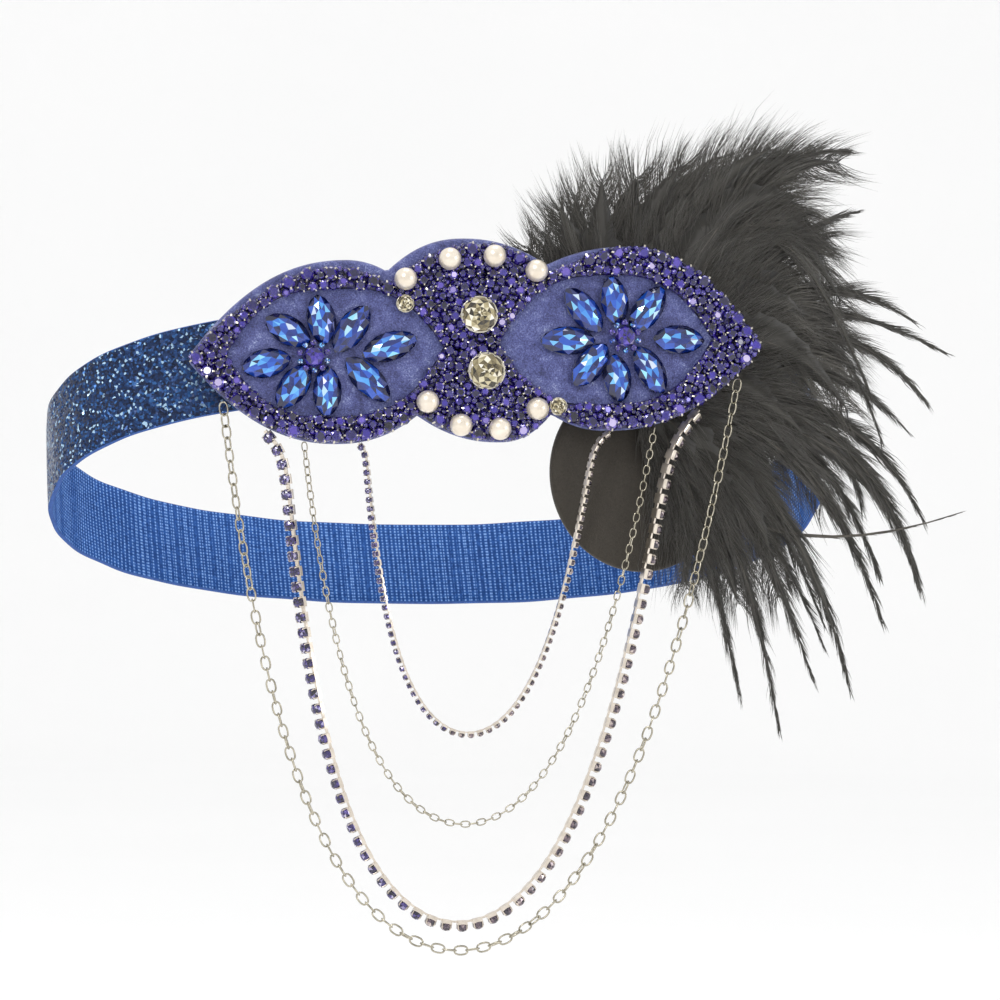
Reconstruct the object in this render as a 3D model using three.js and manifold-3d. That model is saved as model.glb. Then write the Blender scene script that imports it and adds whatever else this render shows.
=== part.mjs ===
// Flapper headband: a closed loop of glitter elastic, a beaded satin applique on its front,
// a plume of feathers behind the applique's right lobe and four swags of chain below it.
// Millimetres, +Z up. The wearer faces -Y, and the origin is the middle of the head.
import * as THREE from 'three';
import { mergeVertices } from 'three/addons/utils/BufferGeometryUtils.js';
import Module from 'manifold-3d';

const wasm = await Module();
wasm.setup();

const degree = Math.PI / 180;

// Elastic loop, worn high on the forehead and low on the nape.
const loopHalfWidth = 104.8;
const loopHalfDepth = 52.4;
const loopSquareness = 2.26;
const loopTilt = 33.1 * degree;
const elasticWidth = 25;
const elasticWall = 1.2;
const elasticFrontLean = 4 * degree;
const elasticBackLean = 31 * degree;
const loopSteps = 80;

// Stiffened satin applique, sewn to the front of the elastic.
const appliqueHalfLength = 76.4;
const appliqueHalfHeight = 27.2;
const appliqueWall = 2.4;
const appliqueBendRadius = 700;
const appliqueRight = 2;
const appliqueRise = 2.4;
const appliqueLean = 4 * degree;
const appliqueRoll = 1.6 * degree;
const appliqueYaw = 1.5 * degree;
const appliqueSteps = 56;
const scallopFullness = 2.2;
const sewnGap = 0.3;
// The butts of the feathers push the right lobe forward, so the middle stands this far off too.
const middleStandOff = 0.6;

// Edges of the applique: along and up are shares of its half length and half height.
const upperEdge = [
  { along: -1.0, up: -0.07 },
  { along: -0.46, up: 0.82 },
  { along: -0.31, up: 0.7 },
  { along: -0.05, up: 1.01 },
  { along: 0.25, up: 0.74 },
  { along: 0.53, up: 0.91 },
  { along: 1.0, up: -0.05 },
];
const lowerEdge = [
  { along: -1.0, up: -0.15 },
  { along: -0.49, up: -0.97 },
  { along: -0.22, up: -0.71 },
  { along: 0.07, up: -0.985 },
  { along: 0.25, up: -0.72 },
  { along: 0.45, up: -0.89 },
  { along: 1.0, up: -0.13 },
];

// Bare satin windows round the two flowers, as shares of the applique's half length and height.
const windows = [
  { side: 'left', along: -0.5, up: -0.09, halfLength: 0.375, halfHeight: 0.62 },
  { side: 'right', along: 0.448, up: 0.0, halfLength: 0.38, halfHeight: 0.63 },
];
const windowFullness = 3;

// Flowers of eight navette stones, sewn on by hand, round a small stone a little off the middle.
// At is a petal's direction from the middle and turn is its own slant, both in degrees, and out
// is from the flower's middle to the petal's.
const flowers = [
  {
    side: 'left',
    along: -0.533,
    up: -0.114,
    heartRight: -3.3,
    heartRise: -0.3,
    petals: [
      { at: 7, out: 17, turn: 17, length: 15 },
      { at: 45, out: 9.7, turn: 53, length: 14.7 },
      { at: 96, out: 9.6, turn: 98, length: 12.8 },
      { at: 145, out: 12, turn: 148, length: 12.8 },
      { at: 186, out: 15.8, turn: 192, length: 12.6 },
      { at: 222, out: 11.8, turn: 234, length: 13.4 },
      { at: 270, out: 9.5, turn: 267, length: 12.8 },
      { at: 329, out: 12.6, turn: 313, length: 15.4 },
    ],
  },
  {
    side: 'right',
    along: 0.505,
    up: 0.01,
    heartRight: 0.4,
    heartRise: 0.3,
    petals: [
      { at: -2, out: 15.3, turn: -3, length: 13.6 },
      { at: 47, out: 10.2, turn: 53, length: 14.6 },
      { at: 101, out: 10.2, turn: 97, length: 12.6 },
      { at: 144, out: 12.8, turn: 128, length: 14.2 },
      { at: 182, out: 14.9, turn: 180, length: 14.4 },
      { at: 218, out: 11.4, turn: 230, length: 13.4 },
      { at: 260, out: 10.8, turn: 276, length: 12.4 },
      { at: 310, out: 11.2, turn: 299, length: 13.6 },
    ],
  },
];
const petalWidth = 7.4;
const petalHeight = 3;
const petalSides = 10;
const petalPointing = 0.85;
const petalLevels = [
  { size: 0.9, rise: 0 },
  { size: 1, rise: 0.32 },
  { size: 0.76, rise: 0.7 },
  { size: 0.4, rise: 1 },
];
const heartRadius = 2.1;
const heartHeight = 2.6;
const heartSides = 10;

// Profile of a round stone in its cup, from the foot of the cup to the middle of the table.
const cupProfile = [
  { size: 0.88, rise: 0 },
  { size: 1, rise: 0.2 },
  { size: 1, rise: 0.62 },
  { size: 0.9, rise: 0.62 },
  { size: 0.72, rise: 0.86 },
  { size: 0.5, rise: 1 },
];

// Clear stones in the middle, pearls over and under them, small clear stones beside them.
const chatonRadius = 5;
const chatonHeight = 3.9;
const chatonSides = 14;
const chatons = [
  { name: 'upper', along: 0.0, up: 0.255 },
  { name: 'lower', along: 0.02, up: -0.295 },
];
const pearlRadius = 3;
const pearlSides = 10;
const pearlRings = 8;
const pearls = [
  { along: -0.253, up: 0.61 },
  { along: -0.098, up: 0.798 },
  { along: 0.058, up: 0.82 },
  { along: 0.203, up: 0.67 },
  { along: -0.19, up: -0.588 },
  { along: -0.077, up: -0.82 },
  { along: 0.058, up: -0.864 },
  { along: 0.191, up: -0.676 },
];
const crystalRadius = 2.4;
const crystalHeight = 2.8;
const crystalSides = 10;
const crystals = [
  { name: 'left', along: -0.255, up: 0.375 },
  { name: 'right', along: 0.268, up: -0.65 },
];
const seatGap = 0.3;
const holeClearance = 0.45;
const holeSides = 14;

// Fields of small stones in cups on a bed of thread and seed beads.
const bedWall = 0.9;
const bedInset = 0.7;
const bedStep = 4;
const bedTipMargin = 3.5;
const fieldSplits = [-0.215, 0.225];
const stoneRadius = 2;
const stoneHeight = 1.9;
const stoneTable = 0.55;
const stonePitch = 5.3;
const stoneRowPitch = 4.5;
const stoneRows = 5;
const stoneSides = 8;
const stoneClearance = 0.1;
const edgeTolerance = 0.15;
const edgeSamples = 240;

// Felt pad on the head side of the elastic, under the plume.
const padRadius = 26;
const padWall = 2;
const padRight = 47.5;
const padUp = -3.6;
const padYaw = 10.9 * degree;
const padSides = 28;
// Share of the radius at which the flat pad touches the curved elastic.
const padTouchShare = 0.75;

// Feather plume. Side and up place each lock's tip from the bound butts, as shares of the reach,
// and lift carries the tip back towards the head (plus) or forward (minus).
const plumeReach = 100;
const buttsRadius = 8;
const buttsSides = 16;
const buttsAlong = 0.523;
const buttsUp = -0.55;
const lockWall = 1.3;
const lockLayerStep = 1;
const lockRootWidth = 4.2;
const lockWidth = 14;
const lockTipWidth = 1.2;
const lockArch = 16 * degree;
const lockKnee = 0.55;
const lockFullness = 0.8;
// A lock's width swells as half a sine wave that starts this far in, and its wall is full up to
// the second share and thins to the third at its tip.
const lockRootShare = 0.08;
const lockThinFrom = 0.5;
const lockTipWall = 0.6;
const lockStations = 5;
const lockSpreadFrom = 47;
const locks = [
  { side: -0.36, up: 0.45, lift: 6, layer: 0 },
  { side: -0.26, up: 0.5, lift: 2, layer: 0 },
  { side: -0.17, up: 0.55, lift: 9, layer: 0 },
  { side: -0.06, up: 0.64, lift: 3, layer: 0 },
  { side: 0.05, up: 0.7, lift: -6, layer: 0 },
  { side: 0.2, up: 0.77, lift: 8, layer: 1 },
  { side: 0.36, up: 0.78, lift: -7, layer: 0 },
  { side: 0.5, up: 0.73, lift: 5, layer: 1 },
  { side: 0.67, up: 0.69, lift: -4, layer: 0 },
  { side: 0.69, up: 0.54, lift: 10, layer: 1 },
  { side: 0.58, up: 0.43, lift: -9, layer: 0 },
  { side: 0.7, up: 0.33, lift: 4, layer: 1 },
  { side: 0.87, up: 0.24, lift: -5, layer: 0 },
  { side: 0.95, up: 0.15, lift: 7, layer: 1 },
  { side: 0.88, up: 0.02, lift: -3, layer: 0 },
  { side: 0.84, up: -0.14, lift: 6, layer: 1 },
  { side: 0.92, up: -0.28, lift: 0, layer: 0 },
  { side: 0.9, up: -0.48, lift: 9, layer: 1 },
  { side: 0.79, up: -0.58, lift: 2, layer: 0 },
  { side: 0.66, up: -0.48, lift: 9, layer: 1 },
  { side: 0.69, up: -0.76, lift: 5, layer: 0 },
  { side: 0.57, up: -0.74, lift: 12, layer: 1 },
  { side: 0.49, up: -0.87, lift: 4, layer: 0 },
  { side: 0.39, up: -0.81, lift: 10, layer: 1 },
  { side: 0.25, up: -0.55, lift: 3, layer: 0 },
];
// A lock that hangs below the applique leans back behind the chains by this much per millimetre.
const hangBack = 0.14;

// Chain swags, hung from the applique's lower edge. Left and right are shares of its half length,
// and drop is from the middle of the two ends to the lowest point.
const headTilt = 1.8 * degree;
const outerCableDrop = 148;
const outerCupDrop = 130;
const innerCableDrop = 103;
const innerCupDrop = 78;
const outerCableRadius = 1.2;
const innerCableRadius = 0.85;
const innerCupRadius = 1;
const cupRadius = 1.6;
const swags = {
  outerCable: { left: -0.89, right: 0.92, drop: outerCableDrop, radius: outerCableRadius },
  outerCup: { left: -0.7, right: 0.665, drop: outerCupDrop, radius: cupRadius },
  innerCable: { left: -0.615, right: 0.615, drop: innerCableDrop, radius: innerCableRadius },
  innerCup: { left: -0.43, right: 0.395, drop: innerCupDrop, radius: innerCupRadius },
};
// Share of the applique's wall, from its back, at which the chains are sewn on.
const hangForward = 0.8;
const tubeSides = 8;
const tubeStepDiameters = 3;
const cupPitch = 4.05;
const cupTable = 0.55;
const cupDepth = 2.7;
const stripWidth = 3.4;
const stripWall = 0.5;

// Closed surface through rings of points with like numbers of corners, capped or joined end to end.
function skin(rings, joined = false) {
  const corners = rings[0].length;
  const points = rings.flat();
  const faces = [];
  const spans = joined ? rings.length : rings.length - 1;
  for (let r = 0; r < spans; r += 1) {
    const next = (r + 1) % rings.length;
    for (let c = 0; c < corners; c += 1) {
      const d = (c + 1) % corners;
      faces.push(r * corners + c, r * corners + d, next * corners + d);
      faces.push(r * corners + c, next * corners + d, next * corners + c);
    }
  }
  if (!joined) {
    const last = (rings.length - 1) * corners;
    for (let c = 1; c < corners - 1; c += 1) {
      faces.push(0, c + 1, c);
      faces.push(last, last + c, last + c + 1);
    }
  }
  const geometry = new THREE.BufferGeometry().setFromPoints(points);
  geometry.setIndex(faces);
  return outward(geometry);
}

// Turns every face over when the enclosed volume comes out negative.
function outward(geometry) {
  const place = geometry.attributes.position;
  const faces = geometry.index.array;
  const [a, b, c] = [new THREE.Vector3(), new THREE.Vector3(), new THREE.Vector3()];
  let volume = 0;
  for (let i = 0; i < faces.length; i += 3) {
    a.fromBufferAttribute(place, faces[i]);
    b.fromBufferAttribute(place, faces[i + 1]);
    c.fromBufferAttribute(place, faces[i + 2]);
    volume += a.dot(b.cross(c));
  }
  if (volume < 0) {
    for (let i = 0; i < faces.length; i += 3) {
      [faces[i + 1], faces[i + 2]] = [faces[i + 2], faces[i + 1]];
    }
  }
  return geometry;
}

function toSolid(geometry) {
  const bare = geometry.clone();
  bare.deleteAttribute('normal');
  bare.deleteAttribute('uv');
  const merged = mergeVertices(bare, 1e-4);
  const faces = [];
  for (let i = 0; i < merged.index.count; i += 3) {
    const corner = [0, 1, 2].map((k) => merged.index.getX(i + k));
    if (new Set(corner).size === 3) faces.push(...corner);
  }
  return new wasm.Manifold(new wasm.Mesh({
    numProp: 3,
    vertProperties: new Float32Array(merged.attributes.position.array),
    triVerts: new Uint32Array(faces),
  }));
}

function fromSolid(solid) {
  const mesh = solid.getMesh();
  const geometry = new THREE.BufferGeometry();
  geometry.setAttribute('position', new THREE.BufferAttribute(mesh.vertProperties, 3));
  geometry.setIndex(new THREE.BufferAttribute(mesh.triVerts, 1));
  return geometry;
}

function fuse(pieces) {
  return pieces.map(toSolid).reduce((whole, piece) => whole.add(piece));
}

// The outer skin of what was fused, with no enclosed hollow left inside it.
function outerSkin(solid) {
  const [largest] = solid.decompose().sort((one, other) => other.volume() - one.volume());
  return fromSolid(largest);
}

// Round piece turned about the outward direction (-Y) from radius and rise pairs.
function turned(profile, sides) {
  const points = profile.map(([radius, rise]) => new THREE.Vector2(radius, rise));
  return new THREE.LatheGeometry(points, sides).rotateX(Math.PI);
}

function material(color, roughness, metalness = 0) {
  return new THREE.MeshStandardMaterial({ color, roughness, metalness });
}

function named(name, geometry, finish) {
  const mesh = new THREE.Mesh(geometry, finish);
  mesh.name = name;
  return mesh;
}

// Elastic loop: the centre line is a tilted superellipse, and the strip leans as the head slopes.
function loopPoint(turn) {
  const power = 2 / loopSquareness;
  const across = Math.sign(Math.sin(turn)) * Math.abs(Math.sin(turn)) ** power * loopHalfWidth;
  const back = -Math.sign(Math.cos(turn)) * Math.abs(Math.cos(turn)) ** power * loopHalfDepth;
  return new THREE.Vector3(across, back * Math.cos(loopTilt), -back * Math.sin(loopTilt));
}

function elasticRing(turn) {
  const step = 0.002;
  const centre = loopPoint(turn);
  const tangent = loopPoint(turn + step).sub(loopPoint(turn - step)).normalize();
  const backShare = (1 - Math.cos(turn)) / 2;
  const lean = THREE.MathUtils.lerp(elasticFrontLean, elasticBackLean, backShare);
  const rise = new THREE.Vector3(0, Math.sin(lean), Math.cos(lean));
  const out = new THREE.Vector3().crossVectors(tangent, rise).normalize();
  const corner = (up, outside) => centre.clone()
    .addScaledVector(rise, up * elasticWidth / 2)
    .addScaledVector(out, outside * elasticWall / 2);
  return [corner(1, 1), corner(1, -1), corner(-1, -1), corner(-1, 1)];
}

function elasticBand() {
  const rings = [];
  for (let i = 0; i < loopSteps; i += 1) {
    rings.push(elasticRing((i + 0.5) / loopSteps * 2 * Math.PI));
  }
  return skin(rings, true);
}

// Height of an edge of the applique: each stretch rises steeply from its low end and rounds over.
function edgeHeight(edge, along) {
  const share = THREE.MathUtils.clamp(along / appliqueHalfLength, -1, 1);
  let i = 0;
  while (i < edge.length - 2 && share > edge[i + 1].along) i += 1;
  const from = edge[i];
  const to = edge[i + 1];
  const rising = Math.abs(to.up) > Math.abs(from.up);
  const [low, high] = rising ? [from, to] : [to, from];
  const way = (share - low.along) / (high.along - low.along);
  const climb = 1 - (1 - way) ** scallopFullness;
  return (low.up + (high.up - low.up) * climb) * appliqueHalfHeight;
}

// Bends a flat point of the applique, with x along, z up and -y out, round its gentle curve.
function bent(along, up, out) {
  const turn = along / appliqueBendRadius;
  const radius = appliqueBendRadius + out;
  return new THREE.Vector3(
    radius * Math.sin(turn),
    appliqueBendRadius - radius * Math.cos(turn),
    up,
  );
}

function bendGeometry(geometry) {
  const place = geometry.attributes.position;
  for (let i = 0; i < place.count; i += 1) {
    const point = bent(place.getX(i), place.getZ(i), -place.getY(i));
    place.setXYZ(i, point.x, point.y, point.z);
  }
  return geometry;
}

function seat(mesh, along, up, out, turn = 0) {
  mesh.position.copy(bent(along, up, out));
  mesh.rotation.set(0, -turn, along / appliqueBendRadius, 'ZYX');
  return mesh;
}

function appliqueBase() {
  const rings = [];
  for (let i = 0; i <= appliqueSteps; i += 1) {
    const along = (2 * i / appliqueSteps - 1) * appliqueHalfLength;
    const top = edgeHeight(upperEdge, along);
    const bottom = edgeHeight(lowerEdge, along);
    rings.push([
      bent(along, top, 0),
      bent(along, top, appliqueWall),
      bent(along, bottom, appliqueWall),
      bent(along, bottom, 0),
    ]);
  }
  return skin(rings);
}

// Middle line of the satin windows, and half their opening at a place along the applique.
function windowMiddle(along) {
  const [left, right] = windows;
  const share = (along / appliqueHalfLength - left.along) / (right.along - left.along);
  const up = THREE.MathUtils.lerp(left.up, right.up, THREE.MathUtils.clamp(share, 0, 1));
  return up * appliqueHalfHeight;
}

function windowOpening(along, margin = 0) {
  let opening = 0;
  for (const lens of windows) {
    const halfLength = lens.halfLength * appliqueHalfLength + margin;
    const away = Math.abs(along - lens.along * appliqueHalfLength) / halfLength;
    if (away < 1) {
      const halfHeight = lens.halfHeight * appliqueHalfHeight + margin;
      opening = Math.max(opening, halfHeight * (1 - away ** windowFullness));
    }
  }
  return opening;
}

function bedStrip(from, to, lowest, highest) {
  const steps = Math.ceil((to - from) / bedStep);
  const rings = [];
  for (let i = 0; i <= steps; i += 1) {
    const along = THREE.MathUtils.lerp(from, to, i / steps);
    const corner = (up, out) => new THREE.Vector3(along, -out, up);
    const low = lowest(along);
    const high = highest(along);
    const back = appliqueWall + seatGap;
    const front = back + bedWall;
    rings.push([corner(high, back), corner(high, front), corner(low, front), corner(low, back)]);
  }
  return skin(rings);
}

// What stands on the applique by itself, with the clearance that the beds leave round it.
function standingPieces() {
  const place = (rows, radius) => rows.map((row) => ({
    along: row.along * appliqueHalfLength,
    up: row.up * appliqueHalfHeight,
    radius: radius + holeClearance,
  }));
  return [
    ...place(chatons, chatonRadius),
    ...place(pearls, pearlRadius),
    ...place(crystals, crystalRadius),
  ];
}

// Places of the small stones: rows that follow the applique's edge, each further in.
function stonePlaces() {
  const edge = [];
  const sampleAt = (i) => (2 * i / edgeSamples - 1) * appliqueHalfLength;
  for (let i = 0; i <= edgeSamples; i += 1) {
    edge.push(new THREE.Vector2(sampleAt(i), edgeHeight(upperEdge, sampleAt(i))));
  }
  for (let i = edgeSamples; i >= 0; i -= 1) {
    edge.push(new THREE.Vector2(sampleAt(i), edgeHeight(lowerEdge, sampleAt(i))));
  }
  const standing = standingPieces();
  const firstInset = bedInset + stoneRadius + stoneClearance;
  const found = [];
  for (let row = 0; row < stoneRows; row += 1) {
    const inset = firstInset + row * stoneRowPitch;
    for (let i = 0; i < edge.length; i += 1) {
      const ahead = edge[(i + 1) % edge.length].clone().sub(edge[i]);
      if (ahead.length() < 1e-6) continue;
      const spot = edge[i].clone().add(new THREE.Vector2(ahead.y, -ahead.x).setLength(inset));
      const clearOfEdge = edge.every((point) => point.distanceTo(spot) > inset - edgeTolerance);
      const offMiddle = Math.abs(spot.y - windowMiddle(spot.x));
      const clearOfWindow = offMiddle > windowOpening(spot.x, stoneRadius);
      const clearOfPieces = standing.every((piece) => {
        const away = Math.hypot(piece.along - spot.x, piece.up - spot.y);
        return away > piece.radius + stoneRadius + stoneClearance;
      });
      const clearOfStones = found.every((other) => other.distanceTo(spot) > stonePitch);
      if (clearOfEdge && clearOfWindow && clearOfPieces && clearOfStones) found.push(spot);
    }
  }
  return found;
}

function cupStone(spot) {
  const base = appliqueWall + seatGap + bedWall / 2;
  const table = appliqueWall + seatGap + bedWall + stoneHeight;
  const profile = [[0, base], [stoneRadius, base], [stoneRadius * stoneTable, table], [0, table]];
  return turned(profile, stoneSides).translate(spot.x, 0, spot.y);
}

function stoneField(from, to, spots) {
  const top = (along) => edgeHeight(upperEdge, along) - bedInset;
  const bottom = (along) => edgeHeight(lowerEdge, along) + bedInset;
  const over = (along) => windowMiddle(along) + windowOpening(along);
  const under = (along) => windowMiddle(along) - windowOpening(along);
  let bed = toSolid(bedStrip(from, to, over, top));
  bed = bed.add(toSolid(bedStrip(from, to, bottom, under)));
  for (const piece of standingPieces()) {
    const depth = appliqueWall + bedWall * 4;
    const profile = [[0, 0], [piece.radius, 0], [piece.radius, depth], [0, depth]];
    const hole = turned(profile, holeSides);
    bed = bed.subtract(toSolid(hole.translate(piece.along, 0, piece.up)));
  }
  const reach = stoneRadius / 2;
  const inside = spots.filter((spot) => spot.x > from + reach && spot.x < to - reach);
  for (const spot of inside) bed = bed.add(toSolid(cupStone(spot)));
  return bendGeometry(outerSkin(bed));
}

// Navette stone: pointed oval rings from its back over the girdle to its table.
function petalStone(length) {
  const ring = ({ size, rise }) => {
    const points = [];
    for (let i = 0; i < petalSides; i += 1) {
      const turn = i / petalSides * 2 * Math.PI;
      const along = Math.cos(turn);
      const across = Math.sign(Math.sin(turn)) * (1 - along * along) ** petalPointing;
      const place = [along * length / 2, -rise * petalHeight, across * petalWidth / 2];
      points.push(new THREE.Vector3(place[0] * size, place[1], place[2] * size));
    }
    return points;
  };
  return skin(petalLevels.map(ring));
}

// Round stone in its metal cup, all one piece: cup wall, rim, crown facets and table.
function cuppedStone(radius, height, sides) {
  const profile = cupProfile.map(({ size, rise }) => [size * radius, rise * height]);
  return turned([[0, 0], ...profile, [0, height]], sides);
}

// Lock of feathers: a flat blade on an arched line from the butts to its tip.
function lockBlade(lock) {
  const root = new THREE.Vector2(buttsAlong * appliqueHalfLength, buttsUp * appliqueHalfHeight);
  const tip = new THREE.Vector2(lock.side, lock.up).multiplyScalar(plumeReach).add(root);
  const way = tip.clone().sub(root);
  const arch = lockArch * Math.cos(way.angle());
  const middle = way.clone().rotateAround(new THREE.Vector2(), arch).multiplyScalar(lockKnee);
  middle.add(root);
  const line = new THREE.QuadraticBezierCurve(root, middle, tip);
  const restDepth = sewnGap + lockWall / 2 + lock.layer * lockLayerStep;
  const rings = [];
  for (let i = 0; i <= lockStations; i += 1) {
    const share = i / lockStations;
    const at = line.getPoint(share);
    const across = line.getTangent(share).rotateAround(new THREE.Vector2(), Math.PI / 2);
    const belowEdge = Math.max(0, edgeHeight(lowerEdge, at.x) - at.y);
    const away = at.distanceTo(root);
    const spread = lock.lift * THREE.MathUtils.smoothstep(away, lockSpreadFrom, plumeReach);
    const depth = restDepth + spread + belowEdge * hangBack;
    const swell = Math.sin(Math.PI * THREE.MathUtils.lerp(lockRootShare, 1, share)) ** lockFullness;
    const taper = share < 0.5 ? lockRootWidth : lockTipWidth;
    const half = (taper + (lockWidth - taper) * swell) / 2;
    const thinned = THREE.MathUtils.mapLinear(share, lockThinFrom, 1, 1, lockTipWall);
    const wall = lockWall / 2 * Math.min(1, thinned);
    const corner = (side, out) => {
      const spot = at.clone().addScaledVector(across, side * half);
      return bent(spot.x, spot.y, -(depth + out * wall));
    };
    rings.push([corner(-1, 0), corner(0, 1), corner(1, 0), corner(0, -1)]);
  }
  return skin(rings);
}

function featherPlume() {
  const thick = sewnGap + lockWall + lockLayerStep;
  const profile = [[0, -thick], [buttsRadius, -thick], [buttsRadius, -sewnGap], [0, -sewnGap]];
  const butts = turned(profile, buttsSides);
  butts.translate(buttsAlong * appliqueHalfLength, 0, buttsUp * appliqueHalfHeight);
  return outerSkin(fuse([bendGeometry(butts), ...locks.map(lockBlade)]));
}

// Line that a chain takes between two points under its own weight, with the head tilted a little.
function swagPoints(start, end, drop, steps) {
  const right = new THREE.Vector3().subVectors(end, start).setZ(0).normalize();
  const down = right.clone().multiplyScalar(-Math.sin(headTilt)).setZ(-Math.cos(headTilt));
  const over = right.clone().multiplyScalar(Math.cos(headTilt)).setZ(-Math.sin(headTilt));
  const span = new THREE.Vector3().subVectors(end, start);
  const width = span.dot(over);
  const fall = span.dot(down);
  const lowest = drop + fall / 2;
  const reach = (stiffness, depth) => stiffness * Math.acosh(1 + depth / stiffness);
  let [soft, stiff] = [1, 2000];
  for (let i = 0; i < 60; i += 1) {
    const middle = (soft + stiff) / 2;
    const reached = reach(middle, lowest) + reach(middle, lowest - fall);
    if (reached < width) soft = middle;
    else stiff = middle;
  }
  const left = reach(stiff, lowest);
  const length = stiff * (Math.sinh(left / stiff) + Math.sinh((width - left) / stiff));
  const points = [];
  for (let i = 0; i <= steps; i += 1) {
    const run = i / steps * length - stiff * Math.sinh(left / stiff);
    const away = stiff * Math.asinh(run / stiff);
    const depth = lowest - stiff * (Math.cosh(away / stiff) - 1);
    points.push(start.clone().addScaledVector(over, left + away).addScaledVector(down, depth));
  }
  return { points, length };
}

// End of a chain under the applique's lower edge, clear of it by the sewn gap.
function hangPoint(panel, share, radius) {
  const along = share * appliqueHalfLength;
  const slope = Math.atan(edgeHeight(lowerEdge, along + 0.5) - edgeHeight(lowerEdge, along - 0.5));
  const below = (sewnGap + radius * Math.abs(Math.sin(slope))) / Math.cos(slope);
  const spot = bent(along, edgeHeight(lowerEdge, along) - below, appliqueWall * hangForward);
  return panel.localToWorld(spot);
}

function swagLine(panel, swag, step) {
  const start = hangPoint(panel, swag.left, swag.radius);
  const end = hangPoint(panel, swag.right, swag.radius);
  const { length } = swagPoints(start, end, swag.drop, 2);
  const steps = Math.round(length / step);
  return swagPoints(start, end, swag.drop, steps).points;
}

function chainTube(panel, swag) {
  const points = swagLine(panel, swag, swag.radius * 2 * tubeStepDiameters);
  const path = new THREE.CatmullRomCurve3(points);
  const section = new THREE.Shape();
  for (let i = 0; i < tubeSides; i += 1) {
    const turn = i / tubeSides * 2 * Math.PI;
    const corner = [swag.radius * Math.cos(turn), swag.radius * Math.sin(turn)];
    if (i === 0) section.moveTo(...corner);
    else section.lineTo(...corner);
  }
  const steps = points.length - 1;
  return new THREE.ExtrudeGeometry(section, { steps, extrudePath: path, bevelEnabled: false });
}

// Cup chain: a metal strip with a faceted stone in its cup at every pitch, facing out of the swag.
function cupChain(panel, swag) {
  const points = swagLine(panel, swag, cupPitch / 2);
  const tangents = points.map((point, i) => {
    const before = points[Math.max(0, i - 1)];
    const after = points[Math.min(points.length - 1, i + 1)];
    return new THREE.Vector3().subVectors(after, before).normalize();
  });
  const first = points[0];
  const last = points[points.length - 1];
  const side = new THREE.Vector3().subVectors(last, first).setZ(0).normalize();
  const width = new THREE.Vector3(-side.y, side.x, 0);
  const outOf = (i) => new THREE.Vector3().crossVectors(tangents[i], width).normalize();
  const facing = outOf(Math.floor(points.length / 2)).z < 0 ? 1 : -1;
  const strip = [];
  for (let i = 0; i < points.length; i += 2) {
    const out = outOf(i).multiplyScalar(facing);
    const corner = (across, depth) => points[i].clone()
      .addScaledVector(width, across * stripWidth / 2)
      .addScaledVector(out, depth * stripWall / 2);
    strip.push([corner(-1, -1), corner(1, -1), corner(1, 1), corner(-1, 1)]);
  }
  let chain = toSolid(skin(strip));
  for (let i = 1; i < points.length - 1; i += 2) {
    const stone = turned([
      [0, 0],
      [cupRadius, 0],
      [cupRadius * cupTable, cupDepth],
      [0, cupDepth],
    ], stoneSides);
    const inward = outOf(i).multiplyScalar(-facing);
    const beside = new THREE.Vector3().crossVectors(tangents[i], inward);
    const frame = new THREE.Matrix4().makeBasis(tangents[i], inward, beside);
    frame.setPosition(points[i]);
    chain = chain.add(toSolid(stone.applyMatrix4(frame)));
  }
  return fromSolid(chain);
}

// Felt pad: a disc on the head side of the elastic's front.
function feltPad() {
  const profile = [[0, 0], [padRadius, 0], [padRadius, padWall], [0, padWall]];
  return turned(profile, padSides);
}

// Middle of the elastic's front at a place across the loop.
function elasticFront(across) {
  const share = 1 - Math.abs(across / loopHalfWidth) ** loopSquareness;
  const depth = loopHalfDepth * share ** (1 / loopSquareness);
  return new THREE.Vector3(across, -depth * Math.cos(loopTilt), depth * Math.sin(loopTilt));
}

const navy = material(0x24508f, 0.6);
const satin = material(0x5457a6, 0.5);
const felt = material(0x3f3b36, 0.95);
const feather = material(0x2f2f2d, 0.85);
const sapphire = material(0x2a5fd0, 0.12);
const violet = material(0x35229a, 0.2);
const clear = material(0xe6dfca, 0.1);
const ivory = material(0xf3eee0, 0.3);
const silver = material(0xcfcabb, 0.25, 1);

const headband = new THREE.Group();
headband.add(named('elastic_band', elasticBand(), navy));

const panel = new THREE.Group();
const loopFront = loopHalfDepth * Math.cos(loopTilt) + elasticWall / 2;
panel.position.set(
  appliqueRight,
  -loopFront - sewnGap - middleStandOff,
  loopHalfDepth * Math.sin(loopTilt) + appliqueRise,
);
panel.rotation.set(-appliqueLean, -appliqueRoll, -appliqueYaw);
headband.add(panel);
headband.updateMatrixWorld(true);

panel.add(named('applique_base', appliqueBase(), satin));

const face = appliqueWall + seatGap;
for (const flower of flowers) {
  const along = flower.along * appliqueHalfLength;
  const up = flower.up * appliqueHalfHeight;
  flower.petals.forEach(({ at, out, turn, length }, i) => {
    const petal = named(`petal_${flower.side}_${i + 1}`, petalStone(length), sapphire);
    const right = along + out * Math.cos(at * degree);
    const rise = up + out * Math.sin(at * degree);
    panel.add(seat(petal, right, rise, face, turn * degree));
  });
  const stone = cuppedStone(heartRadius, heartHeight, heartSides);
  const heart = named(`flower_centre_${flower.side}`, stone, violet);
  panel.add(seat(heart, along + flower.heartRight, up + flower.heartRise, face));
}

function seatByShares(mesh, { along, up }, out) {
  panel.add(seat(mesh, along * appliqueHalfLength, up * appliqueHalfHeight, out));
}

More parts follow.
